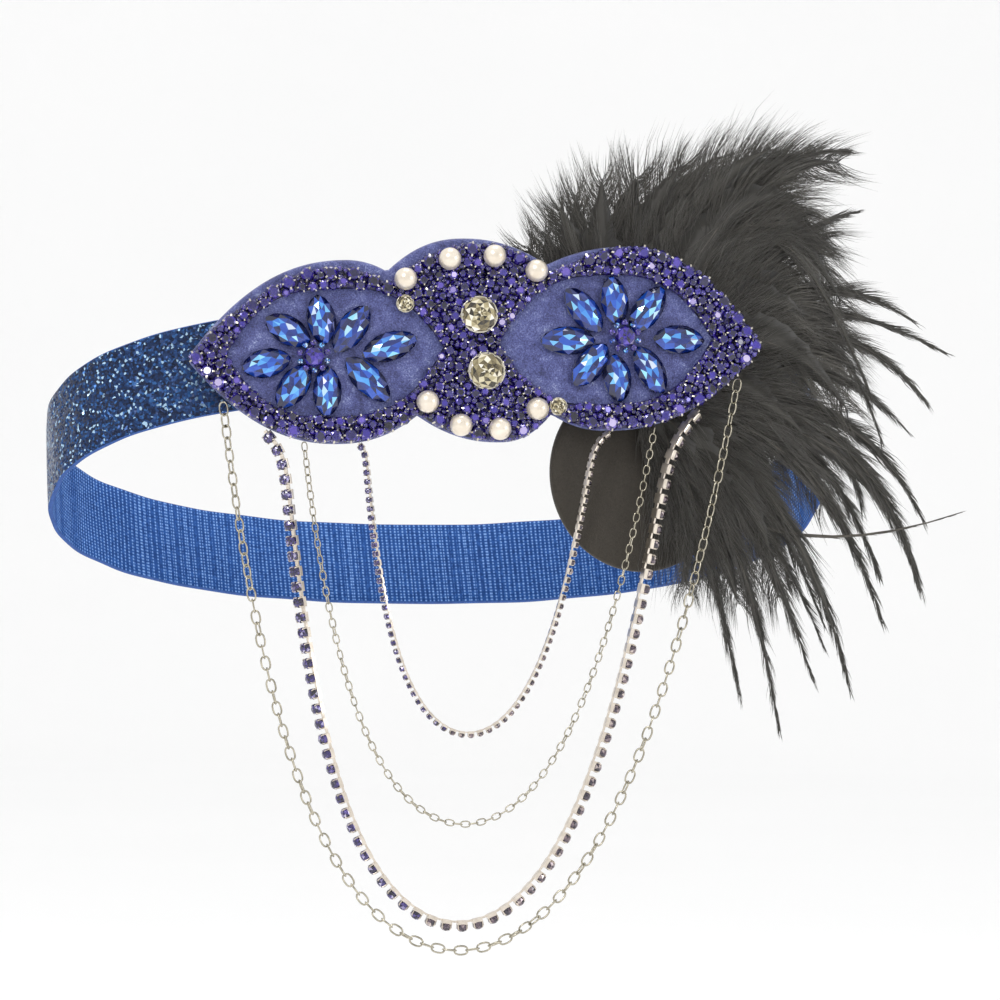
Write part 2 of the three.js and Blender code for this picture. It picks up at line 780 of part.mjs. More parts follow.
for (const chaton of chatons) {
  const stone = cuppedStone(chatonRadius, chatonHeight, chatonSides);
  seatByShares(named(`chaton_${chaton.name}`, stone, clear), chaton, face);
}
pearls.forEach((pearl, i) => {
  const ball = new THREE.SphereGeometry(pearlRadius, pearlSides, pearlRings);
  seatByShares(named(`pearl_${i + 1}`, ball, ivory), pearl, face + pearlRadius);
});
for (const crystal of crystals) {
  const stone = cuppedStone(crystalRadius, crystalHeight, crystalSides);
  seatByShares(named(`crystal_${crystal.name}`, stone, clear), crystal, face);
}

const spots = stonePlaces();
const splits = fieldSplits.map((share) => share * appliqueHalfLength);
const fields = [
  { side: 'left', from: -appliqueHalfLength + bedTipMargin, to: splits[0] - seatGap / 2 },
  { side: 'centre', from: splits[0] + seatGap / 2, to: splits[1] - seatGap / 2 },
  { side: 'right', from: splits[1] + seatGap / 2, to: appliqueHalfLength - bedTipMargin },
];
for (const field of fields) {
  panel.add(named(`stones_${field.side}`, stoneField(field.from, field.to, spots), violet));
}

panel.add(named('feather_plume', featherPlume(), feather));

// The pad lies against the elastic's inner side, so its ends touch the bend and it leans with it.
const pad = named('felt_pad', feltPad(), felt);
const padTouch = padRadius * padTouchShare;
const seatLine = elasticFront(padRight - padTouch);
seatLine.lerp(elasticFront(padRight + padTouch), 0.5);
const seatBack = (padUp - seatLine.z) * Math.tan(elasticFrontLean);
pad.position.set(padRight, seatLine.y + elasticWall / 2 + seatBack + sewnGap + padWall, padUp);
pad.rotation.set(-elasticFrontLean, 0, padYaw, 'ZYX');
headband.add(pad);

headband.add(named('chain_outer_cable', chainTube(panel, swags.outerCable), silver));
headband.add(named('chain_outer_cup', cupChain(panel, swags.outerCup), silver));
headband.add(named('chain_inner_cable', chainTube(panel, swags.innerCable), silver));
headband.add(named('chain_inner_cup', chainTube(panel, swags.innerCup), silver));

export default headband;
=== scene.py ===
"""Flapper feather headband: a loop of glitter elastic with a beaded satin panel on its front,
a plume of black feathers behind the panel's right lobe and four swags of chain below it.

Metres, +Z up. The wearer faces -Y, and the origin is the middle of the head.
"""

import math

import bpy
import numpy as np
from mathutils import Matrix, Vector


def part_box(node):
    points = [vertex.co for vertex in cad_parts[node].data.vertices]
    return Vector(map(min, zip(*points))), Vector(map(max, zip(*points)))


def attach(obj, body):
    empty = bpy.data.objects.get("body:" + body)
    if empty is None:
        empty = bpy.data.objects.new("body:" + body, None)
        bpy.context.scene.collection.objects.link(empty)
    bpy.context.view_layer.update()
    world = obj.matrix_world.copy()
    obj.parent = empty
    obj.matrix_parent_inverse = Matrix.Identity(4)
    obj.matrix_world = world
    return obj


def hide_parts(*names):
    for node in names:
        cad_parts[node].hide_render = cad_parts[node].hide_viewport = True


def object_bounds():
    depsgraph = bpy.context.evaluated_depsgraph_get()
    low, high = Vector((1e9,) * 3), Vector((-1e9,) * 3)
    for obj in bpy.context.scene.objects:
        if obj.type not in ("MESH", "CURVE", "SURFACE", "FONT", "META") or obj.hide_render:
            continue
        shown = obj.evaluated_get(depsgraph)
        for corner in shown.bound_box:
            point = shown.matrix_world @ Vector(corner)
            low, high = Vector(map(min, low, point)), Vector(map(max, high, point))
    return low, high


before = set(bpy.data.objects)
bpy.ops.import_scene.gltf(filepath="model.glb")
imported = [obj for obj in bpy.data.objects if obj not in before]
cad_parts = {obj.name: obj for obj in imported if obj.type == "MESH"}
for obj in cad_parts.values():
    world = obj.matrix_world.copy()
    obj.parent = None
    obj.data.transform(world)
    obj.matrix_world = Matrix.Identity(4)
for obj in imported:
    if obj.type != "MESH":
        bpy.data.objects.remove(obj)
cad_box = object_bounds()
mm = 0.001


# Camera: a long lens, level with the middle of the headband and turned to one side of its front,
# with the small roll that the photograph has.
camera_side = math.radians(11.41)
camera_roll = math.radians(0.6)
camera_distance = 2.150
view_width = 0.270
view_middle = (0.01744, -0.01067)
sensor_width = 36

forward = np.array([math.sin(camera_side), math.cos(camera_side), 0])
right = np.array([math.cos(camera_side), -math.sin(camera_side), 0])
up = np.array([0.0, 0.0, 1.0])
camera = bpy.data.objects.new("camera", bpy.data.cameras.new("camera"))
camera.data.sensor_width = sensor_width
camera.data.lens = sensor_width * camera_distance / view_width
turned_right = right * math.cos(camera_roll) + up * math.sin(camera_roll)
turned_up = up * math.cos(camera_roll) - right * math.sin(camera_roll)
axes = Matrix(np.array([turned_right, turned_up, -forward]).T.tolist()).to_4x4()
place = right * view_middle[0] + up * view_middle[1] - forward * camera_distance
camera.matrix_world = Matrix.Translation(place.tolist()) @ axes
bpy.context.scene.collection.objects.link(camera)
bpy.context.scene.camera = camera
bpy.context.scene.view_settings.view_transform = "Standard"


# Stage: one round dish of matt white paper, flat under the object and rising far out, so that
# every side of the headband is seen against it.
floor_drop = 0.12
floor_radius = 5.0
dish_rise = 3.5
paper_white = "FDFDFD"


def linear(code):
    """Linear red, green, blue and alpha of an sRGB hex code."""
    parts = np.array([int(code[i:i + 2], 16) for i in (0, 2, 4)]) / 255
    bright = np.where(parts <= 0.04045, parts / 12.92, ((parts + 0.055) / 1.055) ** 2.4)
    return (*bright.tolist(), 1.0)


def add(tree, kind, sockets=None, **settings):
    """Adds a node with its settings. A socket is given a number or colour, or another node's output."""
    made = tree.nodes.new(kind)
    for name, value in settings.items():
        setattr(made, name, value)
    for name, value in (sockets or {}).items():
        if isinstance(value, bpy.types.NodeSocket):
            tree.links.new(value, made.inputs[name])
        else:
            made.inputs[name].default_value = value
    return made


def material(name, sockets):
    """Material with one Principled shader whose sockets have these plain values."""
    made = bpy.data.materials.new(name)
    made.use_nodes = True
    shader = made.node_tree.nodes["Principled BSDF"]
    for socket, value in sockets.items():
        shader.inputs[socket].default_value = value
    return made, made.node_tree, shader


def mottled(name, sockets, low, high, noise):
    """Material whose colour drifts between two colours, in a noise with these settings."""
    made, tree, shader = material(name, sockets)
    where = add(tree, "ShaderNodeTexCoord")
    drift = add(tree, "ShaderNodeTexNoise", {"Vector": where.outputs["Object"], **noise})
    shade = add(tree, "ShaderNodeMix", {0: drift.outputs["Fac"], 6: linear(low), 7: linear(high)},
                data_type="RGBA")
    tree.links.new(shade.outputs[2], shader.inputs["Base Color"])
    return made


def grid(rows, columns, close_rows=False, close_columns=False):
    """Quads between the points of a grid that is stored row after row, joined round where asked."""
    row = np.arange(rows if close_rows else rows - 1)
    column = np.arange(columns if close_columns else columns - 1)
    row, column = np.meshgrid(row, column, indexing="ij")
    row_on, column_on = (row + 1) % rows, (column + 1) % columns
    corners = [row * columns + column, row * columns + column_on,
               row_on * columns + column_on, row_on * columns + column]
    return np.stack(corners, -1).reshape(-1, 4)


def outward(points, faces):
    """The same faces, all turned over if the volume they enclose comes out negative."""
    volume = 0.0
    for part in faces:
        for corner in range(1, part.shape[1] - 1):
            a, b, c = points[part[:, 0]], points[part[:, corner]], points[part[:, corner + 1]]
            volume += np.einsum("ij,ij->", a, np.cross(b, c))
    return faces if volume > 0 else [part[:, ::-1] for part in faces]


def piece(name, points, faces, finishes, finish_of_face=None, facet_tone_and_painted_reflection=None, uv=None, values=None, smooth=True):
    """Mesh object at the origin. Faces are arrays of corner numbers, each array with faces of one size.
    The facet tone, a painted reflection, is a number per face, values are named numbers per point, and uv is
    a pair per face corner."""
    mesh = bpy.data.meshes.new(name)
    sizes = np.concatenate([np.full(len(part), part.shape[1]) for part in faces])
    corners = np.concatenate([part.ravel() for part in faces])
    mesh.vertices.add(len(points))
    mesh.vertices.foreach_set("co", np.asarray(points, np.float32).ravel())
    mesh.loops.add(len(corners))
    mesh.loops.foreach_set("vertex_index", corners.astype(np.int32))
    mesh.polygons.add(len(sizes))
    mesh.polygons.foreach_set("loop_start", (np.cumsum(sizes) - sizes).astype(np.int32))
    for finish in finishes:
        mesh.materials.append(finish)
    if finish_of_face is not None:
        mesh.polygons.foreach_set("material_index", np.asarray(finish_of_face, np.int32))
    mesh.update(calc_edges=True)
    mesh.polygons.foreach_set("use_smooth", np.broadcast_to(smooth, len(sizes)).astype(bool))
    if facet_tone_and_painted_reflection is not None:
        made = mesh.attributes.new("facet_tone_and_painted_reflection", "FLOAT", "FACE")
        made.data.foreach_set("value", np.asarray(facet_tone_and_painted_reflection, np.float32))
    for key, numbers in (values or {}).items():
        made = mesh.attributes.new(key, "FLOAT", "POINT")
        made.data.foreach_set("value", np.asarray(numbers, np.float32))
    if uv is not None:
        mesh.uv_layers.new(name="UVMap").data.foreach_set("uv", np.asarray(uv, np.float32).ravel())
    made = bpy.data.objects.new(name, mesh)
    bpy.context.scene.collection.objects.link(made)
    return made


# Radius and height along the dish: flat, then a quarter of an ellipse.
way = np.linspace(0, 1, 24)
dish_radius = np.concatenate([[0.02, 1.0, 3.0], floor_radius + 1.5 * np.sin(way * math.pi / 2)])
dish_height = np.concatenate([[0, 0, 0], dish_rise * (1 - np.cos(way * math.pi / 2))])
turn = np.linspace(0, 2 * math.pi, 64, endpoint=False)
dish = np.stack([
    dish_radius[:, None] * np.cos(turn),
    dish_radius[:, None] * np.sin(turn),
    np.broadcast_to(dish_height[:, None], (len(dish_radius), len(turn))) + cad_box[0].z - floor_drop,
], -1)
dish_faces = [grid(len(dish_radius), len(turn), close_columns=True)[:, ::-1], np.arange(len(turn))[None, :]]

# Matt photographic paper: faint mottle and no gloss.
white_paper = mottled("matt_white_paper", {"Roughness": 0.9, "Specular IOR Level": 0.2},
                      "FAFAFA", paper_white, {"Scale": 3.0, "Detail": 2.0})
floor = piece("floor", dish.reshape(-1, 3), dish_faces, [white_paper])

# Soft studio light: an even white room, a large softbox over the left shoulder of the camera,
# a smaller one on the right and one overhead, which put highlights on the stones and metal.
room = bpy.data.worlds.new("room")
room.use_nodes = True
room.node_tree.nodes["Background"].inputs["Color"].default_value = linear("FFFFFF")
room.node_tree.nodes["Background"].inputs["Strength"].default_value = 1.0
bpy.context.scene.world = room
softboxes = [
    ("key_softbox", (-1.0, -1.5, 1.3), 0.5, 12),
    ("fill_softbox", (1.5, -1.2, 0.3), 0.5, 4),
    ("top_softbox", (0.1, 0.2, 1.6), 0.6, 6),
]
for name, spot, size, power in softboxes:
    lamp = bpy.data.lights.new(name, "AREA")
    lamp.shape = "SQUARE"
    lamp.size = size
    lamp.energy = power
    holder = bpy.data.objects.new(name, lamp)
    holder.location = spot
    holder.rotation_mode = "QUATERNION"
    holder.rotation_quaternion = (-holder.location).to_track_quat("-Z", "Y")
    bpy.context.scene.collection.objects.link(holder)


# Elastic band: a sewn loop of wide knitted elastic, glittered with resin flakes on its outside
# and bare knit inside. It is worn high on the forehead and low on the nape, so it slopes back.
loop_half_width = 104.8 * mm
loop_half_depth = 52.4 * mm
loop_squareness = 2.26
loop_tilt = math.radians(33.1)
band_width = 25 * mm
band_wall = 1.2 * mm
band_front_lean = math.radians(4)
band_back_lean = math.radians(31)
band_wave = 0.25 * mm
flake_size = 0.6 * mm
knit_column = 1.2 * mm
knit_row = 0.95 * mm


def unit(rows):
    """Each vector at a length of one."""
    return rows / np.linalg.norm(rows, axis=-1, keepdims=True)


def loop_line(turn):
    """Superellipse, with sine and cosine raised to 2 over its squareness, tipped back about X."""
    power = 2 / loop_squareness
    across = np.sign(np.sin(turn)) * np.abs(np.sin(turn)) ** power * loop_half_width
    back = -np.sign(np.cos(turn)) * np.abs(np.cos(turn)) ** power * loop_half_depth
    return np.stack([across, back * math.cos(loop_tilt), -back * math.sin(loop_tilt)], -1)


def ramp(tree, factor, stops):
    """Colour ramp that goes through these colours, each at its stop."""
    made = add(tree, "ShaderNodeValToRGB", {"Fac": factor})
    for i, (stop, code) in enumerate(stops):
        marks = made.color_ramp.elements
        mark = marks[0] if i == 0 else marks[-1] if i == len(stops) - 1 else marks.new(stop)
        mark.position = stop
        mark.color = linear(code)
    return made


band_stations = 360
turn = (np.arange(band_stations) + 0.5) / band_stations * 2 * math.pi
centre = loop_line(turn)
along = unit(loop_line(turn + 0.002) - loop_line(turn - 0.002))
lean = band_front_lean + (band_back_lean - band_front_lean) * (1 - np.cos(turn)) / 2
rise = np.stack([np.zeros_like(lean), np.sin(lean), np.cos(lean)], -1)
out = unit(np.cross(along, rise))

# Section of the band, as shares of half its width and half its wall: the outside, an edge, the
# inside and the other edge.
face_shares = np.linspace(-0.975, 0.975, 9)
section = np.concatenate([
    np.stack([face_shares, np.ones(9)], -1),
    [[0.995, 0.7], [1, 0], [0.995, -0.7]],
    np.stack([face_shares[::-1], -np.ones(9)], -1),
    [[-0.995, -0.7], [-1, 0], [-0.995, 0.7]],
])
wave = band_wave * np.sin(turn[:, None] * 23 + section[None, :, 0] * 1.7) * np.sin(turn[:, None] * 5)
points = (centre[:, None]
          + rise[:, None] * section[None, :, :1] * band_width / 2
          + out[:, None] * (section[None, :, 1:] * band_wall / 2 + wave[..., None]))
run = np.concatenate([[0], np.cumsum(np.linalg.norm(np.diff(centre, axis=0, append=centre[:1]), axis=1))])
faces = grid(band_stations, len(section), True, True)
station = faces[:, [0, 0, 0, 0]] // len(section) + np.array([0, 0, 1, 1])
height = section[faces % len(section), 0] * band_width / 2
band_uv = np.stack([run[station], height], -1)
of_section = faces[:, 0] % len(section)
band_finish = np.where(of_section < 8, 0, np.where((of_section > 11) & (of_section < 20), 1, 2))

# Glittered elastic: navy resin flakes that each lie at their own angle, so a few flash white, and a
# few are painted pale blue as a painted flash. The flakes are 0.2 mm and are drawn coarser, because the
# render couldn't show them.
glitter, tree, shader = material("glittered_elastic", {"Metallic": 0.55, "Roughness": 0.32})
where = add(tree, "ShaderNodeTexCoord")
flakes = add(tree, "ShaderNodeTexVoronoi", {"Vector": where.outputs["Object"], "Scale": 1 / flake_size})
grain = add(tree, "ShaderNodeSeparateColor", {"Color": flakes.outputs["Color"]})
# Flake tones: navy, with the palest a painted flash on a few flakes.
flake_tone_and_painted_flash = ramp(tree, grain.outputs["Red"], (
    (0.0, "0B1B3A"), (0.3, "112A52"), (0.6, "1A3C6E"), (0.82, "2D5B94"), (0.93, "A9CBE6")))
flake_tone_and_painted_flash.color_ramp.interpolation = "CONSTANT"
tree.links.new(flake_tone_and_painted_flash.outputs["Color"], shader.inputs["Base Color"])
tip = add(tree, "ShaderNodeVectorMath", {0: flakes.outputs["Color"], 1: (0.5, 0.5, 0.5)},
          operation="SUBTRACT")
tip = add(tree, "ShaderNodeVectorMath", {0: tip.outputs[0], "Scale": 1.1}, operation="SCALE")
lie = add(tree, "ShaderNodeNewGeometry")
tip = add(tree, "ShaderNodeVectorMath", {0: lie.outputs["Normal"], 1: tip.outputs[0]}, operation="ADD")
tip = add(tree, "ShaderNodeVectorMath", {0: tip.outputs[0]}, operation="NORMALIZE")
tree.links.new(tip.outputs[0], shader.inputs["Normal"])

# Knitted polyester over rubber: upright columns of loops and uneven dye, each loop painted paler at
# its crest and darker between loops, a painted sheen and shade that follow its relief.
knit, tree, shader = material("knitted_elastic", {"Roughness": 0.8, "Specular IOR Level": 0.3})
where = add(tree, "ShaderNodeTexCoord")
columns = add(tree, "ShaderNodeTexWave", {"Vector": where.outputs["UV"], "Scale": math.pi / 10 / knit_column,
                                          "Distortion": 0.1, "Detail": 1.0, "Detail Scale": 2.0},
              bands_direction="X")
rows = add(tree, "ShaderNodeTexWave", {"Vector": where.outputs["UV"], "Scale": math.pi / 10 / knit_row,
                                       "Distortion": 0.5, "Detail": 1.0, "Detail Scale": 2.0},
           bands_direction="Y")
# Each loop shows as a short upright dash: narrow in its column and nearly as tall as its row.
narrow = add(tree, "ShaderNodeMath", {0: columns.outputs["Fac"], 1: 1.7}, operation="POWER")
tall = add(tree, "ShaderNodeMath", {0: rows.outputs["Fac"], 1: 0.6}, operation="POWER")
loops = add(tree, "ShaderNodeMath", {0: narrow.outputs[0], 1: tall.outputs[0]}, operation="MULTIPLY")
patchy = add(tree, "ShaderNodeTexNoise", {"Vector": where.outputs["Object"], "Scale": 900.0, "Detail": 3.0})
mixed = add(tree, "ShaderNodeMath", {0: loops.outputs[0], 1: patchy.outputs["Fac"]}, operation="ADD")
shown = add(tree, "ShaderNodeMath", {0: mixed.outputs[0], 1: 0.6}, operation="MULTIPLY")
# Painted sheen and shade: the ramp turns pale where the loops rise and deep between them, over the dye.
dye_and_painted_shading = ramp(tree, shown.outputs[0], ((0.24, "17407F"), (0.5, "2D60AC"), (0.92, "8CB4EC")))
tree.links.new(dye_and_painted_shading.outputs["Color"], shader.inputs["Base Color"])
relief = add(tree, "ShaderNodeBump", {"Height": loops.outputs[0], "Strength": 0.5, "Distance": 0.2 * mm})
tree.links.new(relief.outputs["Normal"], shader.inputs["Normal"])

# Bound edge of the elastic: the same polyester, with the glue and flakes trimmed off.
selvedge = mottled("elastic_selvedge", {"Roughness": 0.8}, "1D3870", "3F69B4", {"Scale": 1200.0})

band = piece("elastic_band_cloth", points.reshape(-1, 3), outward(points.reshape(-1, 3), [faces]),
             [glitter, knit, selvedge], band_finish, uv=band_uv)
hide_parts("elastic_band")
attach(band, "root")


# Satin panel: satin glued over a stiff backing and turned in at the edge, with a pointed lobe on
# each side of a scalloped middle. It is sewn to the front of the elastic and leans back with it.
panel_half_length = 76.4 * mm
panel_half_height = 27.2 * mm
panel_wall = 2.4 * mm
panel_bend = 700 * mm
panel_lean = math.radians(4)
panel_roll = math.radians(1.6)
panel_yaw = math.radians(1.5)
panel_gap = 0.9 * mm
panel_offset = (2 * mm, 2.4 * mm)
scallop_fullness = 2.2
# Places and heights of the edge's hollows and crowns, as shares of half the length and height.
upper_edge = np.array([
    (-1.0, -0.07), (-0.46, 0.82), (-0.31, 0.7), (-0.05, 1.01), (0.25, 0.74), (0.53, 0.91), (1.0, -0.05)])
lower_edge = np.array([
    (-1.0, -0.15), (-0.49, -0.97), (-0.22, -0.71), (0.07, -0.985), (0.25, -0.72), (0.45, -0.89),
    (1.0, -0.13)])
# Lens-shaped windows of bare satin: middle along and up, then half length and half height.
windows = np.array([(-0.5, -0.09, 0.375, 0.62), (0.448, 0.0, 0.38, 0.63)])
window_fullness = 3

loop_front = loop_half_depth * math.cos(loop_tilt) + band_wall / 2
panel_place = np.array([panel_offset[0], -loop_front - panel_gap,
                        loop_half_depth * math.sin(loop_tilt) + panel_offset[1]])
panel_turn = np.array(Matrix.Rotation(-panel_lean, 3, "X") @ Matrix.Rotation(-panel_roll, 3, "Y")
                      @ Matrix.Rotation(-panel_yaw, 3, "Z"))


def on_panel(spots):
    """Flat rows of along, up and out, rolled round the panel's gentle bend and set on the head."""
    turn = spots[..., 0] / panel_bend
    radius = panel_bend + spots[..., 2]
    bent = np.stack([radius * np.sin(turn), panel_bend - radius * np.cos(turn), spots[..., 1]], -1)
    return bent @ panel_turn.T + panel_place


def edge_height(edge, along):
    """Height of a scalloped edge: steep out of each hollow, rounding over to each crown."""
    share = np.clip(along / panel_half_length, -1, 1)
    i = np.clip(np.searchsorted(edge[:, 0], share) - 1, 0, len(edge) - 2)
    low, high = edge[i], edge[i + 1]
    rising = (np.abs(high[..., 1]) > np.abs(low[..., 1]))[..., None]
    low, high = np.where(rising, low, high), np.where(rising, high, low)
    climb = 1 - (1 - (share - low[..., 0]) / (high[..., 0] - low[..., 0])) ** scallop_fullness
    return (low[..., 1] + (high[..., 1] - low[..., 1]) * climb) * panel_half_height


panel_stations = 220
share = np.sin(np.linspace(-1, 1, panel_stations) * math.pi / 2)
along = share * panel_half_length
top, bottom = edge_height(upper_edge, along), edge_height(lower_edge, along)
rim = np.minimum(panel_wall / 2, (top - bottom) / 2 * 0.98)
rim_turn = np.linspace(-math.pi / 2, math.pi / 2, 7)
front_shares = np.linspace(0, 1, 14)[1:-1]
# Round rims at the top and bottom, with the front and back between them.
ring_up = np.concatenate([
    (top - rim)[:, None] + rim[:, None] * np.cos(rim_turn),
    (top - rim)[:, None] + (bottom - top + 2 * rim)[:, None] * front_shares,
    (bottom + rim)[:, None] - rim[:, None] * np.cos(rim_turn),
    (bottom + rim)[:, None] + (top - bottom - 2 * rim)[:, None] * front_shares,
], 1)
ring_out = np.concatenate([
    np.broadcast_to(panel_wall / 2 * (1 + np.sin(rim_turn)), (panel_stations, 7)),
    np.full((panel_stations, 12), panel_wall),
    np.broadcast_to(panel_wall / 2 * (1 - np.sin(rim_turn)), (panel_stations, 7)),
    np.zeros((panel_stations, 12)),
], 1)
ring_size = ring_up.shape[1]
flat = np.stack([np.broadcast_to(along[:, None], ring_up.shape), ring_up, ring_out], -1)
points = on_panel(flat.reshape(-1, 3))
first = np.arange(ring_size)
faces = [grid(panel_stations, ring_size, close_columns=True)[:, ::-1],
         np.stack([first, first[::-1] + (panel_stations - 1) * ring_size])]

# Duchess satin, a tight polyester weave with floating threads: a blue-violet painted from pale to
# deep in clouds as painted sheen and shade, fine painted glints from the threads, and small puckers where it
# is glued down.
satin, tree, shader = material("duchess_satin", {"Roughness": 0.42, "Sheen Weight": 0.2,
                                                 "Specular IOR Level": 0.5})
where = add(tree, "ShaderNodeTexCoord")
puckers = add(tree, "ShaderNodeTexNoise", {"Vector": where.outputs["Object"], "Scale": 1 / (5 * mm),
                                           "Detail": 3.0, "Roughness": 0.6, "Distortion": 0.6})
threads = add(tree, "ShaderNodeTexNoise", {"Vector": where.outputs["Object"], "Scale": 1 / (0.4 * mm),
                                           "Detail": 3.0, "Roughness": 0.75})
relief_and_painted_sheen = add(tree, "ShaderNodeMix", {"Factor": 0.6, "A": puckers.outputs["Fac"], "B": threads.outputs["Fac"]})
# Painted sheen and shade: pale clouds and thread glints, deep between them, over the blue-violet dye.
dye_and_painted_shading = ramp(tree, relief_and_painted_sheen.outputs["Result"], (
    (0.38, "1E2352"), (0.48, "3E447F"), (0.57, "5A629B"), (0.7, "A9B2D6")))
tree.links.new(dye_and_painted_shading.outputs["Color"], shader.inputs["Base Color"])
relief = add(tree, "ShaderNodeBump", {"Height": relief_and_painted_sheen.outputs["Result"], "Strength": 0.7,
                                      "Distance": 0.5 * mm})
tree.links.new(relief.outputs["Normal"], shader.inputs["Normal"])

panel = piece("satin_panel", points, outward(points, faces), [satin])
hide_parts("applique_base")
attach(panel, "root")


# Border of stones: violet glass rhinestones in silver claw cups, 4 mm ones in a row round the
# edge and smaller ones inside, with dark seed beads sewn in between them and round the windows.
stone_sizes = (2.0 * mm, 1.5 * mm, 1.15 * mm)
bead_radius = 0.85 * mm
bed_wall = 0.9 * mm
stone_sides = 8
# Bare satin outside the stones along the upper edge: share of the half length, then its width in mm.
bare_rim = np.array([
    (-1.0, 0.2), (-0.92, 0.4), (-0.78, 2.4), (-0.6, 1.2), (-0.45, 2.0), (-0.31, 3.0), (-0.2, 3.0),
    (-0.08, 1.8), (0.02, 1.0), (0.1, 0.3), (0.2, 1.4), (0.3, 2.2), (0.4, 1.0), (0.5, 0.0), (1.0, 0.0)])
random = np.random.default_rng(7)


def zigzag(first, second, count):
    """Triangles between two rings, the second of which is turned on by half a step."""
    here = np.arange(count)
    ahead = (here + 1) % count
    return np.concatenate([np.stack([first + here, first + ahead, second + here], -1),
                           np.stack([first + ahead, second + ahead, second + here], -1)])


def circle(turn):
    """Round outline of radius one."""
    return np.stack([np.cos(turn), np.sin(turn)], -1)


def cut_stone(levels, sides, outline=circle, first=0.0):
    """Cut stone: rings of corners at each (size, height), each turned on by half a step from the
    last, and closed with a fan at the table and at the back. Sizes are shares of the outline, and
    first is how many steps the lowest ring is turned by."""
    rings = []
    for i, (size, height) in enumerate(levels):
        turn = (np.arange(sides) + first + i / 2) / sides * 2 * math.pi
        rings.append(np.column_stack([outline(turn) * size, np.full(sides, height)]))
    points = np.concatenate([*rings, [[0, 0, levels[0][1]], [0, 0, levels[-1][1]]]])
    faces = [zigzag(i * sides, (i + 1) * sides, sides) for i in range(len(levels) - 1)]
    here = np.arange(sides)
    ahead = (here + 1) % sides
    last = (len(levels) - 1) * sides
    middle = len(levels) * sides
    faces.append(np.stack([ahead, here, np.full(sides, middle)], -1))
    faces.append(np.stack([last + here, last + ahead, np.full(sides, middle + 1)], -1))
    return points, outward(points, [np.concatenate(faces)])


def lathed(profile, sides):
    """Profile of (radius, height) carried round the third axis, closed with a fan at each end."""
    turn = np.arange(sides) / sides * 2 * math.pi
    profile = np.array(profile)
    rings = np.stack([profile[:, :1] * np.cos(turn), profile[:, :1] * np.sin(turn),
                      np.repeat(profile[:, 1:], sides, 1)], -1).reshape(-1, 3)
    points = np.concatenate([rings, [[0, 0, profile[0, 1]], [0, 0, profile[-1, 1]]]])
    here = np.arange(sides)
    ahead = (here + 1) % sides
    last, middle = (len(profile) - 1) * sides, len(profile) * sides
    fans = np.concatenate([np.stack([ahead, here, np.full(sides, middle)], -1),
                           np.stack([last + here, last + ahead, np.full(sides, middle + 1)], -1)])
    return points, outward(points, [grid(len(profile), sides, close_columns=True), fans])


def claws(count, radius, base, height, width, lean=0.75, first=0.125):
    """Claws round a stone: upright bars at the radius whose heads bend in over it."""
    bar = np.array([(-1, 0), (1, 0), (1, 1), (-1, 1)]) * (width / 2, width * 0.7)
    levels = [(radius, base), (radius, height * 0.8), (radius * lean, height)]
    points, faces = [], []
    for i in range(count):
        turn = (i / count + first) * 2 * math.pi
        toward = np.array([math.cos(turn), math.sin(turn)])
        beside = np.array([-toward[1], toward[0]])
        rings = [np.column_stack([bar[:, :1] * beside + (bar[:, 1:] * size + at) * toward,
                                  np.full(4, rise)])
                 for (at, rise), size in zip(levels, (1, 1, 0.6))]
        ends = [[3, 2, 1, 0], [8, 9, 10, 11]]
        faces.append(np.concatenate([grid(3, 4, close_columns=True), ends]) + 12 * i)
        points.append(np.concatenate(rings))
    points = np.concatenate(points)
    return points, outward(points, [np.concatenate(faces)])


def joined(shapes):
    """Several (points, faces) as one, with the number of the shape that each face comes from."""
    points = np.concatenate([shape[0] for shape in shapes])
    starts = np.cumsum([0] + [len(shape[0]) for shape in shapes[:-1]])
    widths = sorted({part.shape[1] for shape in shapes for part in shape[1]})
    faces, source = [], []
    for width in widths:
        for i, (start, shape) in enumerate(zip(starts, shapes)):
            for part in shape[1]:
                if part.shape[1] == width:
                    faces.append(part + start)
                    source.append(np.full(len(part), i))
    grouped = [np.concatenate([f for f in faces if f.shape[1] == width]) for width in widths]
    return points, grouped, np.concatenate(source)


def repeated(shape, spots, spins=None, tips=None, sizes=None):
    """Copies of a shape, each scaled, spun about its own axis, tipped a little and moved to its spot."""
    points, faces = shape[0], shape[1]
    count = len(spots)
    spins = np.zeros(count) if spins is None else spins
    sizes = np.ones(count) if sizes is None else sizes
    c, s = np.cos(spins)[:, None], np.sin(spins)[:, None]
    x, y, z = points.T
    placed = np.stack([c * x - s * y, s * x + c * y, np.broadcast_to(z, (count, len(z)))], -1)
    placed = placed * sizes[:, None, None]
    if tips is not None:
        placed[..., 2] += placed[..., 0] * tips[:, :1] + placed[..., 1] * tips[:, 1:]
    placed = placed + spots[:, None, :]
    step = (np.arange(count) * len(points))[:, None, None]
    return placed.reshape(-1, 3), [(part[None] + step).reshape(-1, part.shape[1]) for part in faces]


def window_open(along, margin=0):
    """Half the height of the windows' opening at a place along the panel: a power curve's arch."""
    opening = np.zeros_like(along)
    for middle, _, half_length, half_height in windows:
        away = np.abs(along - middle * panel_half_length) / (half_length * panel_half_length + margin)
        arch = (half_height * panel_half_height + margin) * (1 - np.minimum(away, 1) ** window_fullness)
        opening = np.maximum(opening, arch)
    return opening


def window_middle(along):
    """Height of the windows' middle line, which runs from one window's middle to the other's."""
    return np.interp(along / panel_half_length, windows[:, 0], windows[:, 1]) * panel_half_height


